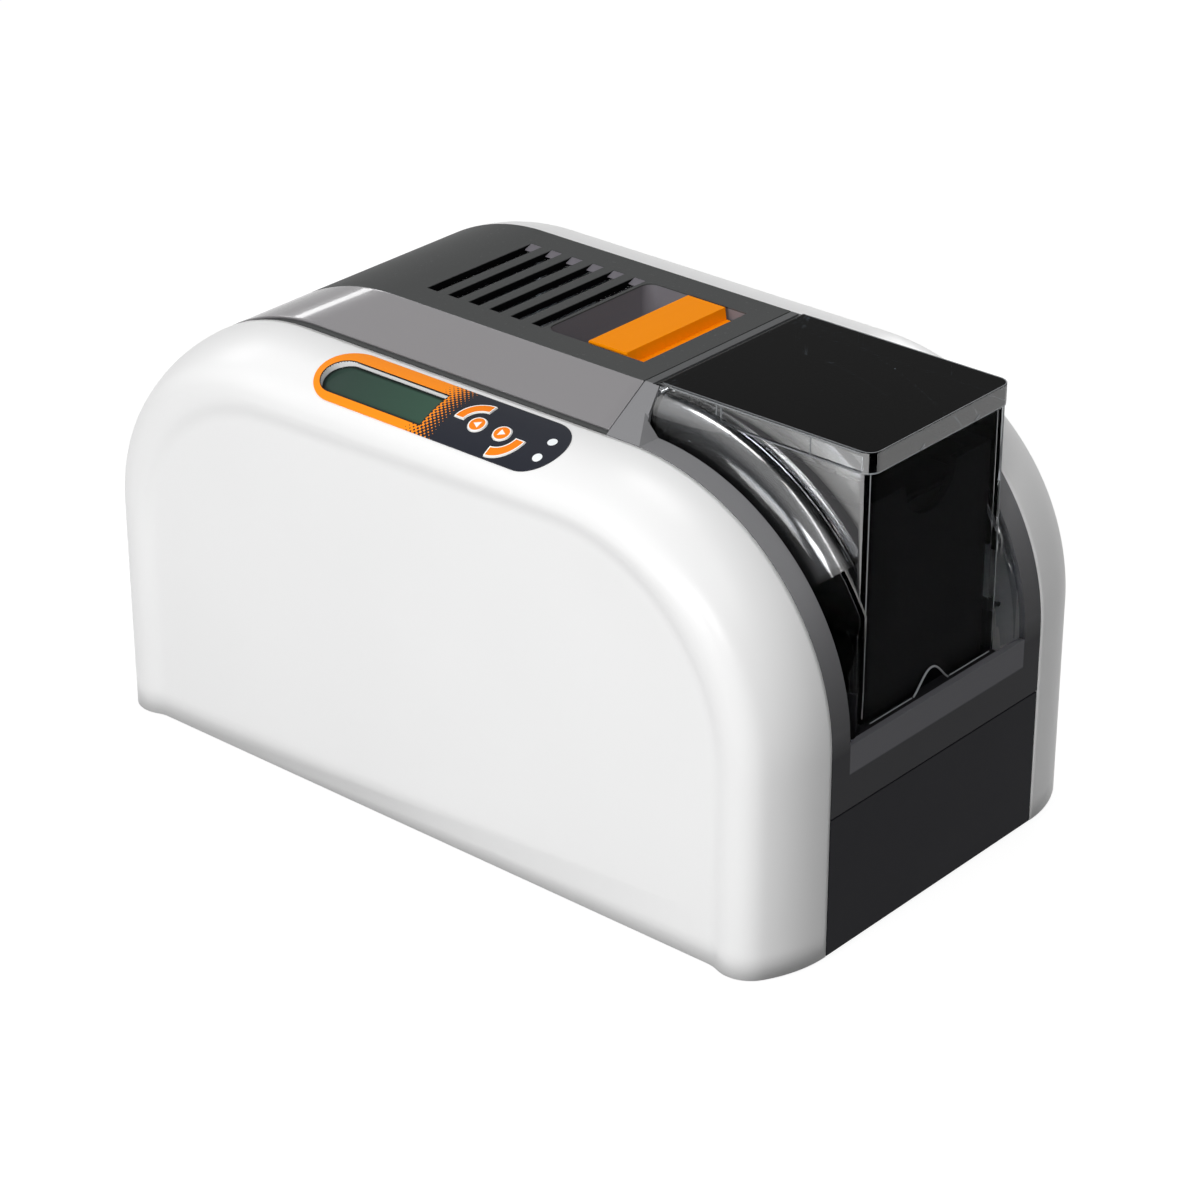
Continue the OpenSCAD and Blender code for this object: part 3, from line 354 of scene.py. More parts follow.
# a lower height, an upper height, and the grey that the hopper frame reaches between them; the grey
# rising with height is painted shade low down and painted sheen higher up
BEZEL_SHEEN_GREYS = ((86, 96, 84), (98, 128, 112), (128, 150, 134), (160, 182, 130))
BAR_HALF, BAR_LOW, BAR_HIGH = 44, 178, 182
LEDGE_LOW, LEDGE_HIGH, LEDGE_HALF, LEDGE_RISE, LEDGE_FADE = 76, 89, 56.0, 0.8, 0.6
# zones of the clear cover: half width of its box, heights between which the side walls turn
# glossy, lower edge of the flanges, their crest and the band of the rim
BOX_HALF = 43.4
SIDE_FADE = (125, 150)
CREASE_TOP, CREASE_FALL = 155, 0.6
CREST_RISE, CREST_FALL = (45.5, 48), (50.5, 53)
RIM_FRONT, RIM_BAND, RIM_SIDE_SHARE = 173.8, 8.6, 0.6
CLEAR_INDEX = 1.035
SCRATCH_SCALE, SCRATCH_LEVELS, CLEAR_ROUGH = 90.0, (0.35, 0.75), (0.01, 0.05)
FLANGE_HAZE, CREST_HAZE = 0.09, 0.04
RIPPLE_SCALE, RIPPLE_BUMP, RIPPLE_DEPTH = 14.0, 0.05, 0.2
# how much each zone of the clear cover adds to its index of refraction
ZONE_INDEX = {"plate": 0.03, "side": 1.9, "flange": 0.26, "crest": 0.75, "rim": 0.75}


def new_material(name, color, rough, **shader):
    """A material with its Principled shader set, ready for more nodes."""
    made = bpy.data.materials.new(name)
    made.use_nodes = True
    made.diffuse_color = color
    w = Wires(made.node_tree)
    bsdf = made.node_tree.nodes["Principled BSDF"]
    bsdf.inputs["Base Color"].default_value = color
    bsdf.inputs["Roughness"].default_value = rough
    for key, value in shader.items():
        bsdf.inputs[key.replace("_", " ")].default_value = value
    place = w.node("TexCoord").outputs["Object"]
    return made, w, bsdf, place


def plastic(name, color, rough, scale=2500.0, depth=0.02, uneven=0.08, spread=0.05, dust=0.0,
            **shader):
    """Moulded plastic: a shade that drifts, a fine grain and an uneven gloss."""
    made, w, bsdf, place = new_material(name, color, rough, **shader)
    grain = w.use(GRAIN, Vector=place, Scale=scale, Gloss=rough, Uneven=uneven)
    tone = w.use(TONE, Vector=place, Color=color, Spread=spread, Dust=dust)
    w.put(bsdf.inputs["Base Color"], tone.outputs["Color"])
    w.put(bsdf.inputs["Roughness"], grain.outputs["Roughness"])
    w.put(bsdf.inputs["Normal"], w.bump(grain.outputs["Height"], GRAIN_BUMP, depth * MM))
    return made, w, bsdf, place, tone


def metal(name, color, rough, along, stretch=40.0, **shader):
    """Rolled or turned metal with fine lines across the given axis."""
    made, w, bsdf, place = new_material(name, color, rough, Metallic=1.0, **shader)
    turn = w.node("Mapping")
    w.put(turn.inputs["Vector"], place)
    turn.inputs["Scale"].default_value = [1.0 if axis == along else stretch for axis in "XYZ"]
    lines = w.noise(turn.outputs["Vector"], LINE_SCALE, 4.0, 0.7)
    w.put(bsdf.inputs["Roughness"], w.remap(lines, *LINE_LEVELS, rough - LINE_SMOOTHER,
                                            rough + LINE_ROUGHER))
    tone = w.use(TONE, Vector=place, Color=color, Spread=0.12, Dust=0.0)
    w.put(bsdf.inputs["Base Color"], tone.outputs["Color"])
    w.put(bsdf.inputs["Normal"], w.bump(lines, LINE_BUMP, LINE_DEPTH * MM))
    return made


def make_plain_materials():
    """Every finish that is the same all over, by name."""
    finishes = {
        "white_plastic": (srgb(236, 236, 236), 0.34, dict(Specular_IOR_Level=0.35)),
        "charcoal_plastic": (srgb(32, 32, 36), 0.46, dict(depth=0.05, IOR=1.12)),
        "inner_plastic": (srgb(26, 26, 28), 0.50, dict(depth=0.04, **DULL)),
        "foot_rubber": (srgb(30, 30, 30), 0.80, dict(depth=0.12, scale=1200.0)),
        "motor_black": (srgb(34, 34, 35), 0.40, dict()),
        "natural_plastic": (srgb(226, 222, 210), 0.42, dict(Subsurface_Weight=0.06)),
        "cassette_plastic": (srgb(8, 8, 9), 0.5, dict(depth=0.03, IOR=1.03)),
        "card_white": (srgb(244, 244, 242), 0.22, dict(uneven=0.03)),
        "black_plastic": (srgb(32, 32, 34), 0.42, dict(depth=0.04, **DULL)),
        # grey_strip: the top cover's charcoal painted lighter, a painted sheen on its sloping strips
        "grey_strip": (srgb(117, 115, 117), 0.24, dict(depth=0.012, Coat_Weight=0.7,
                                                       Coat_Roughness=0.05)),
        "head_ceramic": (srgb(222, 218, 208), 0.30, dict()),
        "orange_plastic": (srgb(255, 148, 6), 0.34, dict(depth=0.012, IOR=1.07)),
        # vent_grey: the cover's charcoal painted paler on the sloping ends of the vent slots,
        # painted light
        "vent_grey": (srgb(106, 103, 109), 0.40, dict(**DULL)),
        "roller_rubber": (srgb(42, 42, 42), 0.72, dict(depth=0.05, scale=1800.0)),
        "spool_black": (srgb(28, 28, 30), 0.45, dict()),
        "light_pipe": (srgb(240, 244, 246), 0.20, dict(Coat_Weight=0.5)),
        # clear_edge: grey threads that are a painted highlight on the polished edges of the clear
        # cover
        "clear_edge": (srgb(128, 131, 134), 0.20, dict(uneven=0.2, spread=0.9)),
        "ribbon_film": (srgb(120, 32, 70), 0.14, dict(uneven=0.03, Coat_Weight=0.6)),
    }
    for name, (color, rough, extra) in finishes.items():
        MATERIALS[name] = plastic(name, color, rough, **extra)[0]
    MATERIALS["zinc_steel"] = metal("zinc_steel", srgb(176, 180, 184), 0.36, "X")
    MATERIALS["pin_steel"] = metal("pin_steel", srgb(196, 198, 200), 0.24, "Y")
    MATERIALS["head_aluminium"] = metal("head_aluminium", srgb(205, 207, 210), 0.34, "Y")


def make_circuit_board():
    """Green solder resist with copper tracks showing through."""
    made, w, bsdf, place, tone = plastic("circuit_board", srgb(24, 92, 52), 0.30, Coat_Weight=0.3)
    cells = w.node("TexVoronoi", feature="DISTANCE_TO_EDGE", distance="CHEBYCHEV")
    w.put(cells.inputs["Vector"], place)
    cells.inputs["Scale"].default_value = TRACK_SCALE
    track = w.below(cells.outputs["Distance"], TRACK_WIDTH)
    w.put(bsdf.inputs["Base Color"], w.mix(track, tone.outputs["Color"], srgb(58, 134, 76)))
    MATERIALS["circuit_board"] = made


def make_dark_plastic():
    """Charcoal top cover, painted black inside its vent slots as painted shade, and lighter in the
    well of the latch.
    """
    made, w, bsdf, place, tone = plastic("dark_plastic", srgb(76, 77, 77), 0.45, depth=0.05,
                                         dust=0.05, IOR=1.07)
    x, y, z = w.split(place)
    away = w.math("ABSOLUTE", y)
    # painted shade: the walls inside the vent slots are painted near black
    vent_shade = w.product(w.below(z, (CROWN_TOP - VENT_SINK) * MM),
                      w.below(away, (VENT_HALF + VENT_MARGIN) * MM),
                      w.between(x, (VENT_REAR - VENT_MARGIN) * MM, (VENT_FRONT + VENT_MARGIN) * MM))
    well = w.product(w.below(z, (CROWN_TOP - WELL_SINK) * MM), w.below(away, WELL_HALF * MM),
                     w.above(x, (VENT_FRONT + VENT_MARGIN) * MM))
    color = w.mix(vent_shade, tone.outputs["Color"], srgb(9, 9, 10))
    w.put(bsdf.inputs["Base Color"], w.mix(well, color, srgb(116, 113, 118)))
    MATERIALS["dark_plastic"] = made


def make_bezel():
    """Grey frame of the hopper: its arch painted darker low down and paler towards the top as
    painted shade and sheen, a darker cross bar over it without that painted sheen, and a pale ledge
    at its foot.
    """
    made, w, bsdf, place, tone = plastic("bezel_plastic", srgb(42, 42, 45), 0.42, depth=0.04,
                                         **DULL)
    y, z = w.split(place)[1:]
    away = w.math("ABSOLUTE", y)
    color = tone.outputs["Color"]
    # painted shade and sheen: the arch is dark low down and grows paler with height
    for low, high, grey in BEZEL_SHEEN_GREYS:
        paler = w.use(TONE, Vector=place, Color=srgb(grey, grey, grey + 2), Spread=0.05, Dust=0.0)
        color = w.mix(w.remap(z, low * MM, high * MM, 0.0, 1.0), color, paler.outputs["Color"])
    # the cross bar goes back to a plain darker grey, without the painted sheen
    bar = w.product(w.below(away, BAR_HALF * MM), w.remap(z, BAR_LOW * MM, BAR_HIGH * MM, 0.0, 1.0))
    color = w.mix(bar, color, srgb(82, 83, 84))
    ledge = w.product(w.remap(z, LEDGE_LOW * MM, (LEDGE_LOW + LEDGE_RISE) * MM, 0.0, 1.0),
                      w.below(z, LEDGE_HIGH * MM),
                      w.remap(away, (LEDGE_HALF - LEDGE_FADE) * MM, LEDGE_HALF * MM, 1.0, 0.0))
    w.put(bsdf.inputs["Base Color"], w.mix(ledge, color, srgb(98, 98, 102)))
    MATERIALS["bezel_plastic"] = made


def cover_zones(w, place):
    """Masks of the clear cover: black top plate, side walls, flanges, their crest, rim band."""
    x, y, z = w.split(place)
    away = w.math("ABSOLUTE", y)
    plate = w.above(z, (COVER_TOP - 0.4) * MM)
    below = w.math("SUBTRACT", 1.0, plate)
    wall = w.between(away, (BOX_HALF - 0.9) * MM, (BOX_HALF + 0.1) * MM)
    faded = w.remap(z, SIDE_FADE[0] * MM, SIDE_FADE[1] * MM, 0.0, 1.0)
    crease = w.math("MULTIPLY_ADD", w.math("SUBTRACT", away, BOX_HALF * MM), -CREASE_FALL,
                    CREASE_TOP * MM)
    flange = w.product(w.above(away, (BOX_HALF + 0.1) * MM), w.above(z, crease))
    rising = w.remap(away, CREST_RISE[0] * MM, CREST_RISE[1] * MM, 0.0, 1.0)
    falling = w.remap(away, CREST_FALL[0] * MM, CREST_FALL[1] * MM, 1.0, 0.0)
    band = w.above(z, (COVER_TOP - RIM_BAND) * MM)
    rim_side = w.product(w.above(away, (BOX_HALF + 0.2) * MM), band)
    rim = w.math("MULTIPLY_ADD", rim_side, RIM_SIDE_SHARE,
                 w.product(w.above(x, RIM_FRONT * MM), band))
    return {"plate": plate, "side": w.product(wall, faded, below), "flange": flange,
            "crest": w.product(rising, falling, flange), "rim": w.product(rim, below)}


def make_smoked_clear():
    """Clear acrylic with faint moulding lines; its top plate is tinted black."""
    clear = srgb(226, 228, 230)
    made, w, bsdf, place = new_material("smoked_clear", clear, 0.02, Transmission_Weight=1.0,
                                        IOR=CLEAR_INDEX)
    zones = cover_zones(w, place)
    color = w.mix(zones["flange"], clear, srgb(166, 169, 174))
    w.put(bsdf.inputs["Base Color"], w.mix(zones["plate"], color, srgb(6, 8, 10)))
    index = CLEAR_INDEX
    for zone, more in ZONE_INDEX.items():
        index = w.math("MULTIPLY_ADD", zones[zone], more, index)
    w.put(bsdf.inputs["IOR"], index)
    scratches = w.noise(place, SCRATCH_SCALE, 4.0, 0.6)
    rough = w.remap(scratches, *SCRATCH_LEVELS, *CLEAR_ROUGH)
    rough = w.math("MULTIPLY_ADD", zones["flange"], FLANGE_HAZE, rough)
    rough = w.math("MULTIPLY_ADD", zones["crest"], CREST_HAZE, rough)
    w.put(bsdf.inputs["Roughness"], rough)
    ripples = w.noise(place, RIPPLE_SCALE, 1.0)
    w.put(bsdf.inputs["Normal"], w.bump(ripples, RIPPLE_BUMP, RIPPLE_DEPTH * MM))
    MATERIALS["smoked_clear"] = made


# ---------- print on the control panel ----------

PANEL_TILT = radians(19.2)
SHOULDER_R = 53.75
# the point of the shoulder's axis from which places on the panel are measured
PANEL_AXIS = Vector((0, -67, 132.25))
PANEL_UP = Vector((0, cos(PANEL_TILT), sin(PANEL_TILT)))
PANEL_OUT = Vector((0, -sin(PANEL_TILT), cos(PANEL_TILT)))
# left, right, lower and upper edge of the display window, along and up the panel
WINDOW = (-59, -1.5, -10.5, 7.5)
LEFT_KEY = (20.9, -1.5)
RIGHT_KEY = (33.4, -1.5)
ROUND_KEY_R = 3.8
# inner and outer radius of the arc keys, each centred on a round one
ARC_KEY = (7.2, 11.8)
KEY_LINE, RING_LINE, KEY_OVERLAP, ARC_OVERLAP = 0.5, 0.55, 0.3, 0.6
ARROW_SLOPE, ARROW_HALF, ARROW_BACK = 0.58, 1.05, 1.15
DOT_PITCH, DOTS_START, DOTS_END, DOTS_LEAN = 1.55, -7.0, 8.0, -0.05
WINDOW_RIM, RIM_OVERLAP, DISPLAY_SHADE = 1.0, 0.32, 2.2
FILM_ROUGH, FILM_SCALE, FILM_BUMP, FILM_DEPTH = 0.34, 3000.0, 0.4, 0.012
KEY_SCALE, KEY_BUMP, KEY_DEPTH = 2400.0, 0.3, 0.01


def build_panel_place():
    """Millimetres along the control panel (U) and up its slope (V)."""
    group, into, out = new_group("panel_place", [("Vector", "Vector", None)],
                                 [("U", "Float"), ("V", "Float")])
    w = Wires(group)
    spot = w.node("VectorMath", operation="SUBTRACT")
    w.put(spot.inputs[0], into.outputs["Vector"])
    spot.inputs[1].default_value = PANEL_AXIS * MM
    for label, direction in (("U", (1, 0, 0)), ("V", PANEL_UP)):
        group.links.new(w.product(w.dot(spot.outputs[0], direction), 1 / MM), out.inputs[label])
    return group


def build_dots():
    """Printed dots at 45 degrees that grow from nothing to full as Fade goes from 0 to 1."""
    group, into, out = new_group(
        "printed_dots",
        [("U", "Float", 0.0), ("V", "Float", 0.0), ("Pitch", "Float", 1.5), ("Fade", "Float", 0.5)],
        [("Mask", "Float")])
    w = Wires(group)
    u, v = into.outputs["U"], into.outputs["V"]
    turn = w.math("DIVIDE", 2 * pi * sqrt(0.5), into.outputs["Pitch"])
    along = w.math("COSINE", w.product(w.math("ADD", u, v), turn))
    over = w.math("COSINE", w.product(w.math("SUBTRACT", u, v), turn))
    level = w.product(w.math("ADD", along, over), 0.5)
    limit = w.remap(into.outputs["Fade"], 0.0, 1.0, 1.05, -1.05)
    group.links.new(w.above(level, limit), out.inputs["Mask"])
    return group


def reach(w, u, v, centre):
    """Distance in millimetres from a point of the panel."""
    return w.length(w.math("SUBTRACT", u, centre[0]), w.math("SUBTRACT", v, centre[1]))


def window_distance(w, u, v):
    """Signed distance from the edge of the display window, below 0 inside it."""
    left, right, low, high = WINDOW
    radius = (high - low) / 2
    capped = w.math("MAXIMUM", w.math("SUBTRACT", left + radius, u), 0.0)
    up = w.math("SUBTRACT", v, (low + high) / 2)
    round_end = w.math("SUBTRACT", w.length(capped, up), radius)
    return w.math("MAXIMUM", round_end, w.math("SUBTRACT", u, right))


def make_panel_film():
    """Printed film: orange round the display, dots into black round the keys, no words."""
    black, orange = srgb(38, 40, 48), srgb(255, 146, 30)
    made, w, bsdf, place = new_material("panel_film", black, FILM_ROUGH, **DULL)
    spot = w.use(PANEL_PLACE, Vector=place)
    u, v = spot.outputs["U"], spot.outputs["V"]
    slant = w.math("MULTIPLY_ADD", v, DOTS_LEAN, u)
    fade = w.remap(slant, DOTS_START, DOTS_END, 0.0, 1.0)
    dots = w.use(DOTS, U=u, V=v, Pitch=DOT_PITCH, Fade=fade)
    color = w.mix(dots.outputs["Mask"], orange, black)
    rim = w.between(window_distance(w, u, v), -WINDOW_RIM, RIM_OVERLAP)
    w.put(bsdf.inputs["Base Color"], w.mix(rim, color, srgb(30, 26, 24)))
    grain = w.use(GRAIN, Vector=place, Scale=FILM_SCALE, Gloss=FILM_ROUGH, Uneven=0.05)
    w.put(bsdf.inputs["Roughness"], grain.outputs["Roughness"])
    w.put(bsdf.inputs["Normal"], w.bump(grain.outputs["Height"], FILM_BUMP, FILM_DEPTH * MM))
    MATERIALS["panel_film"] = made


def make_key_material():
    """Orange keys with a thin white outline and a plain white arrow head on the round ones."""
    orange, white = srgb(248, 132, 24), srgb(250, 248, 244)
    made, w, bsdf, place = new_material("orange_key", orange, 0.36, **DULL)
    spot = w.use(PANEL_PLACE, Vector=place)
    u, v = spot.outputs["U"], spot.outputs["V"]
    inner, outer = ARC_KEY
    mask = 0.0
    for centre, side in ((LEFT_KEY, -1), (RIGHT_KEY, 1)):
        distance = reach(w, u, v, centre)
        # ahead points to the outer side of the pair, over to the side of the arc key
        ahead = w.product(w.math("SUBTRACT", u, centre[0]), float(side))
        over = w.product(w.math("SUBTRACT", v, centre[1]), float(-side))
        slope = w.math("ADD", w.product(ahead, ARROW_SLOPE), w.math("ABSOLUTE", over))
        marks = [w.between(distance, ROUND_KEY_R - RING_LINE, ROUND_KEY_R + KEY_OVERLAP),
                 w.product(w.below(slope, ARROW_HALF), w.above(ahead, -ARROW_BACK))]
        arc_key = w.product(w.between(distance, inner - KEY_OVERLAP, outer + KEY_OVERLAP),
                            w.above(ahead, -ARC_OVERLAP), w.above(over, -ARC_OVERLAP))
        for edge in (w.below(distance, inner + KEY_LINE), w.above(distance, outer - KEY_LINE),
                     w.below(ahead, KEY_LINE), w.below(over, KEY_LINE)):
            marks.append(w.product(arc_key, edge))
        for mark in marks:
            mask = w.math("MAXIMUM", mask, mark)
    w.put(bsdf.inputs["Base Color"], w.mix(mask, orange, white))
    w.put(bsdf.inputs["Normal"], w.bump(w.noise(place, KEY_SCALE), KEY_BUMP, KEY_DEPTH * MM))
    MATERIALS["orange_key"] = made


def make_display_material():
    """Green-grey display behind glass, darker round its edge as painted shade cast by the wall of
    the window.
    """
    made, w, bsdf, place = new_material("lcd_glass", srgb(48, 72, 62), 0.16, **DULL)
    spot = w.use(PANEL_PLACE, Vector=place)
    edge = window_distance(w, spot.outputs["U"], spot.outputs["V"])
    # painted shade: the glass darkens towards the edge of the window, where its wall shades it
    mask = w.remap(edge, -DISPLAY_SHADE, -WINDOW_RIM, 0.0, 1.0)
    drift = w.remap(spot.outputs["U"], WINDOW[0], WINDOW[1], 0.0, 1.0)
    glass = w.mix(drift, srgb(44, 62, 55), srgb(56, 84, 70))
    w.put(bsdf.inputs["Base Color"], w.mix(mask, glass, srgb(24, 32, 30)))
    MATERIALS["lcd_glass"] = made


PANEL_PLACE = build_panel_place()
DOTS = build_dots()


# ---------- mesh helpers ----------

# points closer than this become one
WELD = 0.002


def arc(centre, radius, first, last, steps):
    """Points on an arc, angles in degrees."""
    turns = [radians(first + (last - first) * k / steps) for k in range(steps + 1)]
    return [Vector((centre[0] + radius * cos(turn), centre[1] + radius * sin(turn)))
            for turn in turns]


def sheet(bm, rows, columns, place):
    """A grid of points, each put where place(row, column) says."""
    made = bmesh.ops.create_grid(bm, x_segments=rows - 1, y_segments=columns - 1, size=0.5)
    for vert in made["verts"]:
        row = round((vert.co.x + 0.5) * (rows - 1))
        column = round((vert.co.y + 0.5) * (columns - 1))
        vert.co = place(row, column)


def prism(bm, outline, along):
    """A solid swept from a flat outline."""
    face = bm.faces.new([bm.verts.new(point) for point in outline])
    made = bmesh.ops.extrude_face_region(bm, geom=[face])
    moved = [part for part in made["geom"] if isinstance(part, bmesh.types.BMVert)]
    bmesh.ops.translate(bm, vec=along, verts=moved)


def to_mesh(bm, name):
    """Turns a mesh in millimetres into one in metres."""
    bmesh.ops.scale(bm, vec=(MM, MM, MM), verts=bm.verts)
    mesh = bpy.data.meshes.new(name)
    bm.to_mesh(mesh)
    bm.free()
    return mesh


def finish(bm, name, body, material, stands_for=(), sharp=60.0, extra=()):
    """Turns a mesh in millimetres into a finished piece on its body."""
    bmesh.ops.remove_doubles(bm, verts=bm.verts, dist=WELD)
    mesh = to_mesh(bm, name)
    mesh.shade_smooth()
    mesh.set_sharp_from_angle(angle=radians(sharp))
    for one in (material, *extra):
        mesh.materials.append(MATERIALS[one])
    piece = bpy.data.objects.new(name, mesh)
    bpy.context.scene.collection.objects.link(piece)
    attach(piece, body)
    if stands_for:
        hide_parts(*stands_for)
    return piece


def add_wall(piece, thickness):
    """Gives a sheet its wall, inwards from the surface that shows."""
    wall = piece.modifiers.new("wall", "SOLIDIFY")
    wall.thickness = thickness * MM
    wall.offset = -1


def add_soft_edge(piece, width, least_angle):
    """Rounds every edge that turns by more than an angle in degrees."""
    edge = piece.modifiers.new("edge", "BEVEL")
    edge.width = width * MM
    edge.segments = 2
    edge.limit_method = "ANGLE"
    edge.angle_limit = radians(least_angle)


def bake_modifiers(piece):
    """Makes what the modifiers show the piece's own mesh."""
    shown = piece.evaluated_get(bpy.context.evaluated_depsgraph_get())
    mesh = bpy.data.meshes.new_from_object(shown)
    piece.modifiers.clear()
    piece.data = mesh


# ---------- casing shells ----------

SHELL_LOW, SHELL_HIGH = (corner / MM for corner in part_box("far_side_shell"))
FRONT_X, REAR_X = SHELL_HIGH.x, SHELL_LOW.x
SEAM_Y, SIDE_Y = SHELL_LOW.y, SHELL_HIGH.y
SEAM_TOP, FOOT = SHELL_HIGH.z, SHELL_LOW.z
# radius and centre, in length and height, of the seam's two quarter arcs
FRONT_R, REAR_R = 98, 90
FRONT_C = Vector((FRONT_X - FRONT_R, SEAM_TOP - FRONT_R))
REAR_C = Vector((REAR_X + REAR_R, SEAM_TOP - REAR_R))
# the shoulder's large arc runs into a small one whose centre lies this far below the seam
DROP, SMALL_R = 20, 14
SHOULDER_RUN = SIDE_Y - SEAM_Y
TURN = atan2(SHOULDER_RUN - SMALL_R, SHOULDER_R - DROP)
# centre and radius of the two round ends of the sunk panel
RECESS_FRONT, RECESS_REAR = (Vector((71, 84)), 84.5), (Vector((-79, 88)), 76.5)
RECESS_DEPTH, RECESS_SLOPE = 2.2, 6.0
SHELL_WALL, SHELL_BLEND = 2.6, 0.9
FOOT_STEPS, ARC_STEPS, TOP_STEPS, SHOULDER_STEPS = 8, 40, 24, 22
# how far each row of the sheet lies past the edge of the sunk panel
EDGE_ROWS = (-3.0, -2.3, -1.7, -1.1, -0.6, 0, 0.7, 1.4, 2.2, 3.0, 3.8, 4.5, 5.1, 5.7, 6.3, 7.0, 7.8,
             8.8)
EDGE_RANGE, LENGTH_RANGE, HALVINGS = (8, 40), (5, 90), 40
# ends of the window cutter, above the axis of the shoulder
CUTTER_LOW, CUTTER_HIGH = 40, 60


def seam_stations():
    """Points of the seam with the outward direction, from the front foot over to the rear foot."""
    stations = [(Vector((FRONT_X, FOOT + (FRONT_C.y - FOOT) * k / FOOT_STEPS)), Vector((1, 0)))
                for k in range(FOOT_STEPS)]
    turns = [pi / 2 * k / ARC_STEPS for k in range(ARC_STEPS + 1)]
    for turn in turns:
        out = Vector((cos(turn), sin(turn)))
        stations.append((FRONT_C + FRONT_R * out, out))
    for k in range(1, TOP_STEPS):
        x = FRONT_C.x + (REAR_C.x - FRONT_C.x) * k / TOP_STEPS
        stations.append((Vector((x, SEAM_TOP)), Vector((0, 1))))
    for turn in turns:
        out = Vector((-sin(turn), cos(turn)))
        stations.append((REAR_C + REAR_R * out, out))
    for k in range(1, FOOT_STEPS + 1):
        z = REAR_C.y - (REAR_C.y - FOOT) * k / FOOT_STEPS
        stations.append((Vector((REAR_X, z)), Vector((-1, 0))))
    return stations


def inside_recess(point):
    """How far a point lies inside the outline of the sunk side panel."""
    (front, front_r), (rear, rear_r) = RECESS_FRONT, RECESS_REAR
    line = front - rear
    tilt = asin((front_r - rear_r) / line.length) + atan2(line.y, line.x)
    along = Vector((cos(tilt), sin(tilt)))
    up = Vector((-sin(tilt), cos(tilt)))
    if (point - front).dot(along) > 0:
        if point.y < front.y:
            return front.x + front_r - point.x
        return front_r - (point - front).length
    if (point - rear).dot(along) < 0:
        if point.y < rear.y:
            return point.x - rear.x + rear_r
        return rear_r - (point - rear).length
    return rear_r - (point - rear).dot(up)


def shoulder(length):
    """Way out from the seam and drop below it, after that length along the oval shoulder."""
    big = SHOULDER_R * TURN
    small = SMALL_R * (pi / 2 - TURN)
    if length < big:
        angle = length / SHOULDER_R
        return SHOULDER_R * sin(angle), SHOULDER_R * (1 - cos(angle))
    if length < big + small:
        angle = TURN + (length - big) / SMALL_R
        return (SHOULDER_RUN - SMALL_R + SMALL_R * sin(angle), DROP - SMALL_R * cos(angle))
    return SHOULDER_RUN, DROP + length - big - small


def solve(function, low, high):
    """Where a rising function passes 0, between low and high."""
    for _ in range(HALVINGS):
        middle = (low + high) / 2
        if function(middle) < 0:
            low = middle
        else:
            high = middle
    return (low + high) / 2


def soft_min(a, b):
    """The smaller of two ways out, with the corner between them rounded off."""
    return min(a, b) - max(SHELL_BLEND - abs(a - b), 0) ** 2 / (4 * SHELL_BLEND)


def shell_surface(bm):
    """Oval shoulder, land and sunk panel of the far side shell, as one sheet."""
    stations = seam_stations()
    edges = [solve(lambda d: inside_recess(s - d * out), *EDGE_RANGE) for s, out in stations]
    lengths = [solve(lambda length: shoulder(length)[1] - (edge + EDGE_ROWS[0]), *LENGTH_RANGE)
               for edge in edges]

    def place(row, column):
        (seam, out), edge = stations[row], edges[row]
        if column < SHOULDER_STEPS:
            way, drop = shoulder(lengths[row] * column / SHOULDER_STEPS)
            spot = seam - drop * out
            return Vector((spot.x, SEAM_Y + way, spot.y))
        drop = edge + EDGE_ROWS[column - SHOULDER_STEPS]
        spot = seam - drop * out
        way = SHOULDER_RUN
        if drop < DROP:
            way += sqrt(SMALL_R ** 2 - (DROP - drop) ** 2) - SMALL_R
        cut = -soft_min(RECESS_DEPTH, RECESS_DEPTH * inside_recess(spot) / RECESS_SLOPE)
        return Vector((spot.x, SEAM_Y + soft_min(way, SHOULDER_RUN + cut), spot.y))

    sheet(bm, len(stations), SHOULDER_STEPS + len(EDGE_ROWS), place)
    # one flat face closes the sheet inside its last row
    flat = SIDE_Y - RECESS_DEPTH
    rim = [v for v in bm.verts if abs(v.co.y - flat) < 0.01 and len(v.link_faces) < 3]
    inner = [v for v in rim if inside_recess(Vector((v.co.x, v.co.z))) > EDGE_ROWS[-1] - 0.4]
    bmesh.ops.contextual_create(bm, geom=inner)


def make_side_shell(side):
    """White side shell with its wall; the near one is cut out for the display window."""
    name = "far_side_shell" if side > 0 else "near_side_shell"
    bm = bmesh.new()
    shell_surface(bm)
    if side < 0:
        bmesh.ops.scale(bm, vec=(1, -1, 1), verts=bm.verts)
    bmesh.ops.recalc_face_normals(bm, faces=bm.faces)
    # the flat panel has to face away from the middle of the printer
    panel = max(bm.faces, key=lambda face: face.calc_area())
    if panel.normal.y * side < 0:
        bmesh.ops.reverse_faces(bm, faces=bm.faces)
    piece = finish(bm, name + "_skin", "root", "white_plastic", (name,), sharp=50.0)
    add_wall(piece, SHELL_WALL)
    if side < 0:
        cutter = window_cutter()
        cut = piece.modifiers.new("window", "BOOLEAN")
        cut.object = cutter
        cut.solver = "EXACT"
        bake_modifiers(piece)
        bpy.data.objects.remove(cutter)


def on_panel(point, height):
    """A point above the control panel, in the printer's frame."""
    return PANEL_AXIS + Vector((point[0], 0, 0)) + PANEL_UP * point[1] + PANEL_OUT * height


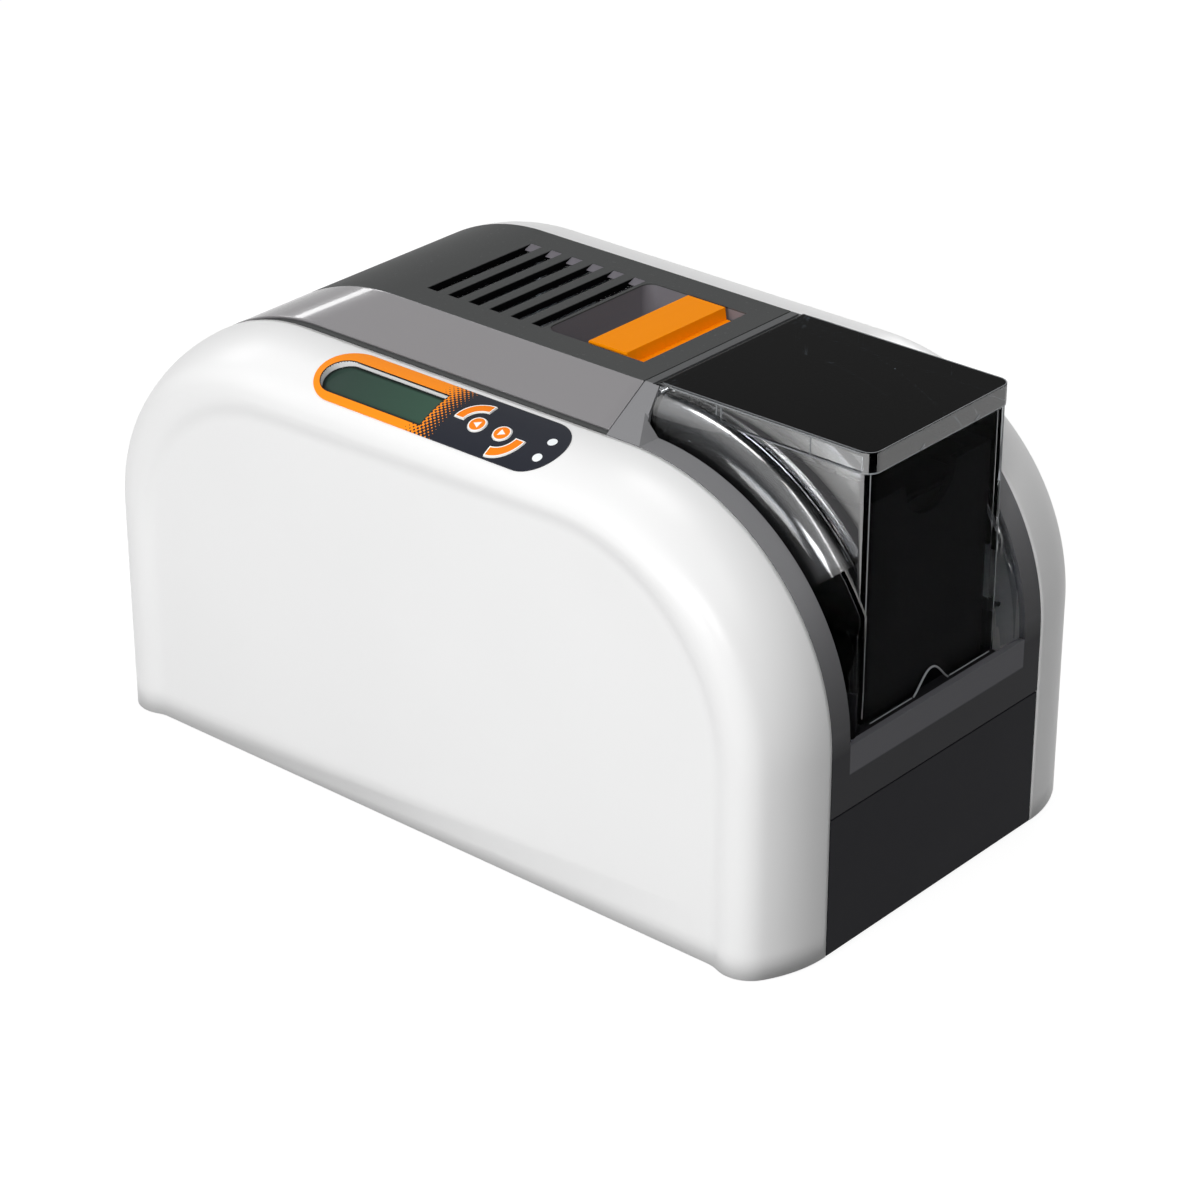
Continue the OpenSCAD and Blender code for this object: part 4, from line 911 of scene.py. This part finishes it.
def window_cutter():
    """A prism square to the control panel that cuts the display window out of the shell."""
    left, right, low, high = WINDOW
    radius = (high - low) / 2
    outline = arc((left + radius, low + radius), radius, 90, 270, 24)
    outline += [Vector((right, low)), Vector((right, high))]
    bm = bmesh.new()
    prism(bm, [on_panel(point, CUTTER_LOW) for point in outline],
          PANEL_OUT * (CUTTER_HIGH - CUTTER_LOW))
    bmesh.ops.recalc_face_normals(bm, faces=bm.faces)
    cutter = bpy.data.objects.new("window_cutter", to_mesh(bm, "window_cutter"))
    bpy.context.scene.collection.objects.link(cutter)
    return cutter


# ---------- grey strips of the top cover, its charcoal painted lighter as a painted sheen ---

CROWN_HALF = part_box("lid_cover")[1].y / MM
STRIP_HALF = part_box("far_lid_strip")[1].y / MM
LID_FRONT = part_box("far_lid_strip")[1].x / MM
CROWN_REAR, CROWN_R = -157, 95
# height of the mitred split beside the flat top, and how much higher it is at the seam
SPLIT, SPLIT_RISE = 136, 20
LIP, LIP_DROP, LIP_UNDER = 2.0, 0.9, 0.03
STRIP_WALL, STRIP_EDGE, STRIP_SHARP = 1.4, 0.3, 50
REAR_RUN, NUDGE = 60, 0.01
# rows along the strip, the share of them on the flat top, and columns across it
STRIP_ROWS, FLAT_SHARE, STRIP_COLUMNS = 90, 0.3, 6


def side_curve(front, rear, radius, top, turn):
    """Point of an arched outline: 0 to 1 along the top, 1 to 2 round the rear, then down."""
    if turn <= 1:
        return Vector((front + (rear + radius - front) * turn, top))
    angle = pi / 2 * min(turn - 1, 1)
    spot = Vector((rear + radius - radius * sin(angle), top - radius + radius * cos(angle)))
    return spot - Vector((0, REAR_RUN * max(turn - 2, 0)))


def strip_point(turn, out):
    """Point of the ruled strip, out from 0 at the flat top to 1 at the seam."""
    inner = side_curve(LID_FRONT, CROWN_REAR, CROWN_R, CROWN_TOP, turn)
    outer = side_curve(LID_FRONT, REAR_X, REAR_R, SEAM_TOP, turn)
    spot = inner.lerp(outer, out)
    return Vector((spot.x, CROWN_HALF + (STRIP_HALF - CROWN_HALF) * out, spot.y))


def strip_end(out):
    """Where the strip meets the mitred split, as a turn along its outline."""
    level = SPLIT + SPLIT_RISE * out * (STRIP_HALF - CROWN_HALF) / (SEAM_Y - CROWN_HALF)
    return solve(lambda turn: level - strip_point(turn, out).z, 1, 3)


def make_strip(side):
    """Sloping strip painted grey, the cover's charcoal made lighter as a painted sheen, with a dark
    lip set lower along its outer edge.
    """
    name = "far_lid_strip" if side > 0 else "near_lid_strip"
    bm = bmesh.new()
    lip_at = 1 - LIP / (STRIP_HALF - CROWN_HALF)
    step = (lip_at - 2 * LIP_UNDER) / STRIP_COLUMNS
    outs = [0] + [LIP_UNDER + step * k for k in range(STRIP_COLUMNS + 1)] + [lip_at]
    lips = [lip_at - LIP_UNDER, (1 + lip_at) / 2, 1]

    def turn_at(row, out):
        part = row / (STRIP_ROWS - 1)
        if part < FLAT_SHARE:
            return part / FLAT_SHARE
        return 1 + (strip_end(out) - 1) * (part - FLAT_SHARE) / (1 - FLAT_SHARE)

    def face_point(row, column):
        return strip_point(turn_at(row, outs[column]), outs[column])

    def lip_point(row, column):
        turn, out = turn_at(row, lips[column]), lips[column]
        here = strip_point(turn, out)
        ahead, beside = strip_point(turn + NUDGE, out), strip_point(turn, out - NUDGE)
        normal = (ahead - here).cross(beside - here).normalized()
        if normal.z < 0:
            normal.negate()
        return here - normal * LIP_DROP

    sheet(bm, STRIP_ROWS, len(outs), face_point)
    grey = set(bm.faces)
    sheet(bm, STRIP_ROWS, len(lips), lip_point)
    for face in bm.faces:
        face.material_index = 0 if face in grey else 1
    if side < 0:
        bmesh.ops.scale(bm, vec=(1, -1, 1), verts=bm.verts)
    bm.normal_update()
    # the strip faces up on the flat top and to the rear below it
    for face in bm.faces:
        if face.normal.z * 2 - face.normal.x < 0:
            face.normal_flip()
    piece = finish(bm, name + "_skin", "top_cover", "grey_strip", (name,), sharp=40.0,
                   extra=("dark_plastic",))
    add_wall(piece, STRIP_WALL)
    add_soft_edge(piece, STRIP_EDGE, STRIP_SHARP)


def make_vent_ramps():
    """Sloping end of each vent slot, painted paler than the cover's charcoal as painted light."""
    top, low = CROWN_TOP - 0.15, CROWN_TOP - 1.7
    profile = [(VENT_HALF, top), (VENT_HALF - 0.6, top), (VENT_HALF - 3.9, low + 0.3),
               (VENT_HALF - 4.1, low), (VENT_HALF, low)]
    bm = bmesh.new()
    for k in range(VENTS):
        x = VENT_REAR + VENT_PITCH * k
        prism(bm, [(x, y, z) for y, z in profile], (VENT_WIDTH, 0, 0))
    bmesh.ops.recalc_face_normals(bm, faces=bm.faces)
    finish(bm, "vent_ramps", "top_cover", "vent_grey")


# ---------- edges of the clear cover drawn as painted highlights, weight on the cards ---

BOX_FRONT, BOX_REAR, BOX_CORNER, CORNER_STEPS = FRONT_X - 3.9, 76, 5, 8
POST_INSET = 1.9
RIM_LOW = COVER_TOP - 8.7
RIM_REAR, RIM_OUT = 80, 0.65
# lines that cross the rim along its sides, short marks on its front, radius of most threads
MOULD_MARKS, GATE_MARKS, THREAD = (102, 104.2, 146), (-14, 20), 0.3
POST_FOOT, SILL_HALF = 92, 38
SILL_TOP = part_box("clear_cover")[0].z / MM - 0.3
NOTCH_HALF, NOTCH_RISE = 12, 9


def cord(bm, points, radius, sides=8):
    """A thin round thread along a line of points."""
    frames = []
    for k, point in enumerate(points):
        ahead = points[min(k + 1, len(points) - 1)] - points[max(k - 1, 0)]
        side = ahead.orthogonal() if abs(ahead.normalized().z) > 0.9 else ahead.cross((0, 0, 1))
        side.normalize()
        frames.append((point, side, side.cross(ahead).normalized()))

    def place(row, column):
        point, side, up = frames[row]
        turn = 2 * pi * column / sides
        return point + radius * (side * cos(turn) + up * sin(turn))

    sheet(bm, len(points), sides + 1, place)


def straight_cord(bm, first, last, radius=THREAD):
    cord(bm, [Vector(first), Vector(last)], radius)


def box_plan(inset, height):
    """The clear box in plan at a height, from one rear end round the front to the other."""
    half, front = BOX_HALF - inset, BOX_FRONT - inset
    radius = BOX_CORNER - inset / 2
    flat = [Vector((BOX_REAR, -half))]
    flat += arc((front - radius, radius - half), radius, -90, 0, CORNER_STEPS)
    flat += arc((front - radius, half - radius), radius, 0, 90, CORNER_STEPS)
    flat.append(Vector((BOX_REAR, half)))
    return [Vector((p.x, p.y, height)) for p in flat]


def make_cover_edges():
    """Grey threads along the edges of the acrylic, a painted highlight for the light its polished
    edges catch, with the marks that the mould left on its rim in the same painted highlight.
    """
    bm = bmesh.new()
    cord(bm, box_plan(0.25, COVER_TOP - 0.2), 0.28)
    cord(bm, box_plan(0.3, RIM_LOW + 0.2), THREAD)
    sill_x, sill_z = BOX_FRONT - 0.6, SILL_TOP + 0.5
    for side in (-1, 1):
        post_x, post_y = BOX_FRONT - POST_INSET, side * (BOX_HALF - POST_INSET)
        straight_cord(bm, (post_x, post_y, POST_FOOT), (post_x, post_y, RIM_LOW), 0.22)
        rim_y = side * (BOX_HALF + RIM_OUT)
        for z in (RIM_LOW + 0.3, COVER_TOP - 0.6):
            straight_cord(bm, (BOX_FRONT - BOX_CORNER, rim_y, z), (RIM_REAR, rim_y, z))
        wall_y = side * BOX_HALF
        for x in MOULD_MARKS:
            straight_cord(bm, (x, wall_y, RIM_LOW + 0.6), (x, wall_y, COVER_TOP - 0.8))
        straight_cord(bm, (sill_x, side * NOTCH_HALF, sill_z), (sill_x, side * SILL_HALF, sill_z))
    for y in GATE_MARKS:
        straight_cord(bm, (BOX_FRONT, y, RIM_LOW + 0.4), (BOX_FRONT, y + 2.5, RIM_LOW + 2.0), 0.4)
    notch = []
    for y in range(1 - NOTCH_HALF, NOTCH_HALF):
        rise = NOTCH_RISE * cos(pi / 2 * y / NOTCH_HALF) ** 1.5
        notch.append(Vector((BOX_FRONT - 0.5, y, SILL_TOP + rise + 0.1)))
    cord(bm, notch, 0.45)
    finish(bm, "cover_edges", "hopper_cover", "clear_edge")


def make_card_weight():
    """Black weight that lies on the cards, with a raised grip and a tab down their front."""
    low, high = (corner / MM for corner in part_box("card_stack"))
    rear, front, middle = low.x + 1, high.x - 1, (low.x + high.x) / 2
    chamfer, slab, grip, grip_foot, grip_head = 0.6, 4.0, 9.0, 7, 4
    inset, gap = 0.6, 0.05
    tab_size, tab_place = (0.5, 36, 20), (high.x + 0.45, 0, high.z - 7)
    profile = [(rear, 0), (front, 0), (front, slab - chamfer), (front - chamfer, slab),
               (middle + grip_foot, slab), (middle + grip_head, grip),
               (middle - grip_head, grip), (middle - grip_foot, slab),
               (rear + chamfer, slab), (rear, slab - chamfer)]
    bm = bmesh.new()
    prism(bm, [(x, low.y + inset, high.z + gap + z) for x, z in profile],
          (0, high.y - low.y - 2 * inset, 0))
    tab = bmesh.ops.create_cube(bm, size=1)["verts"]
    bmesh.ops.scale(bm, vec=tab_size, verts=tab)
    bmesh.ops.translate(bm, vec=tab_place, verts=tab)
    bmesh.ops.recalc_face_normals(bm, faces=bm.faces)
    finish(bm, "card_weight", "root", "cassette_plastic", sharp=20.0)


# ---------- parts that keep the shape of the frame ----------

# how wide the edges of each part are rounded
SOFT_EDGES = {
    "lid_cover": 0.4, "latch_handle": 0.5, "hopper_bezel": 0.4, "front_panel": 0.3,
    "clear_cover": 0.4, "card_cassette": 0.4, "hopper_well": 0.3, "rear_panel": 0.3,
    "back_key": 0.15, "left_key": 0.15, "right_key": 0.15, "enter_key": 0.15,
    "lcd_module": 0.3, "card_stack": 0.3, "rocker_switch": 0.3, "power_inlet": 0.3,
}
PART_WELD, FLAT_ANGLE, PART_SHARP, FACE_WEIGHT = 0.003, 0.3, 32, 80


def soften(node, width):
    """Rounds the edges of a part and shades its curved faces smoothly."""
    piece = frame["nodes"][node]
    weld = piece.modifiers.new("weld", "WELD")
    weld.merge_threshold = PART_WELD * MM
    flat = piece.modifiers.new("flat_faces", "DECIMATE")
    flat.decimate_type = "DISSOLVE"
    flat.angle_limit = radians(FLAT_ANGLE)
    add_soft_edge(piece, width, PART_SHARP)
    piece.data.shade_smooth()
    normals = piece.modifiers.new("normals", "WEIGHTED_NORMAL")
    normals.weight = FACE_WEIGHT


def dress_nodes():
    """Every part of the frame takes its slot's material."""
    for part in frame["record"]["subparts"]:
        piece = frame["nodes"][part["node"]]
        piece.data.materials.clear()
        piece.data.materials.append(MATERIALS[part["material_slot"]])


def make_all():
    make_studio()
    make_plain_materials()
    make_dark_plastic()
    make_bezel()
    make_circuit_board()
    make_smoked_clear()
    make_panel_film()
    make_key_material()
    make_display_material()
    dress_nodes()
    for side in (1, -1):
        make_side_shell(side)
        make_strip(side)
    make_cover_edges()
    make_card_weight()
    make_vent_ramps()
    for node, width in SOFT_EDGES.items():
        soften(node, width)


make_all()
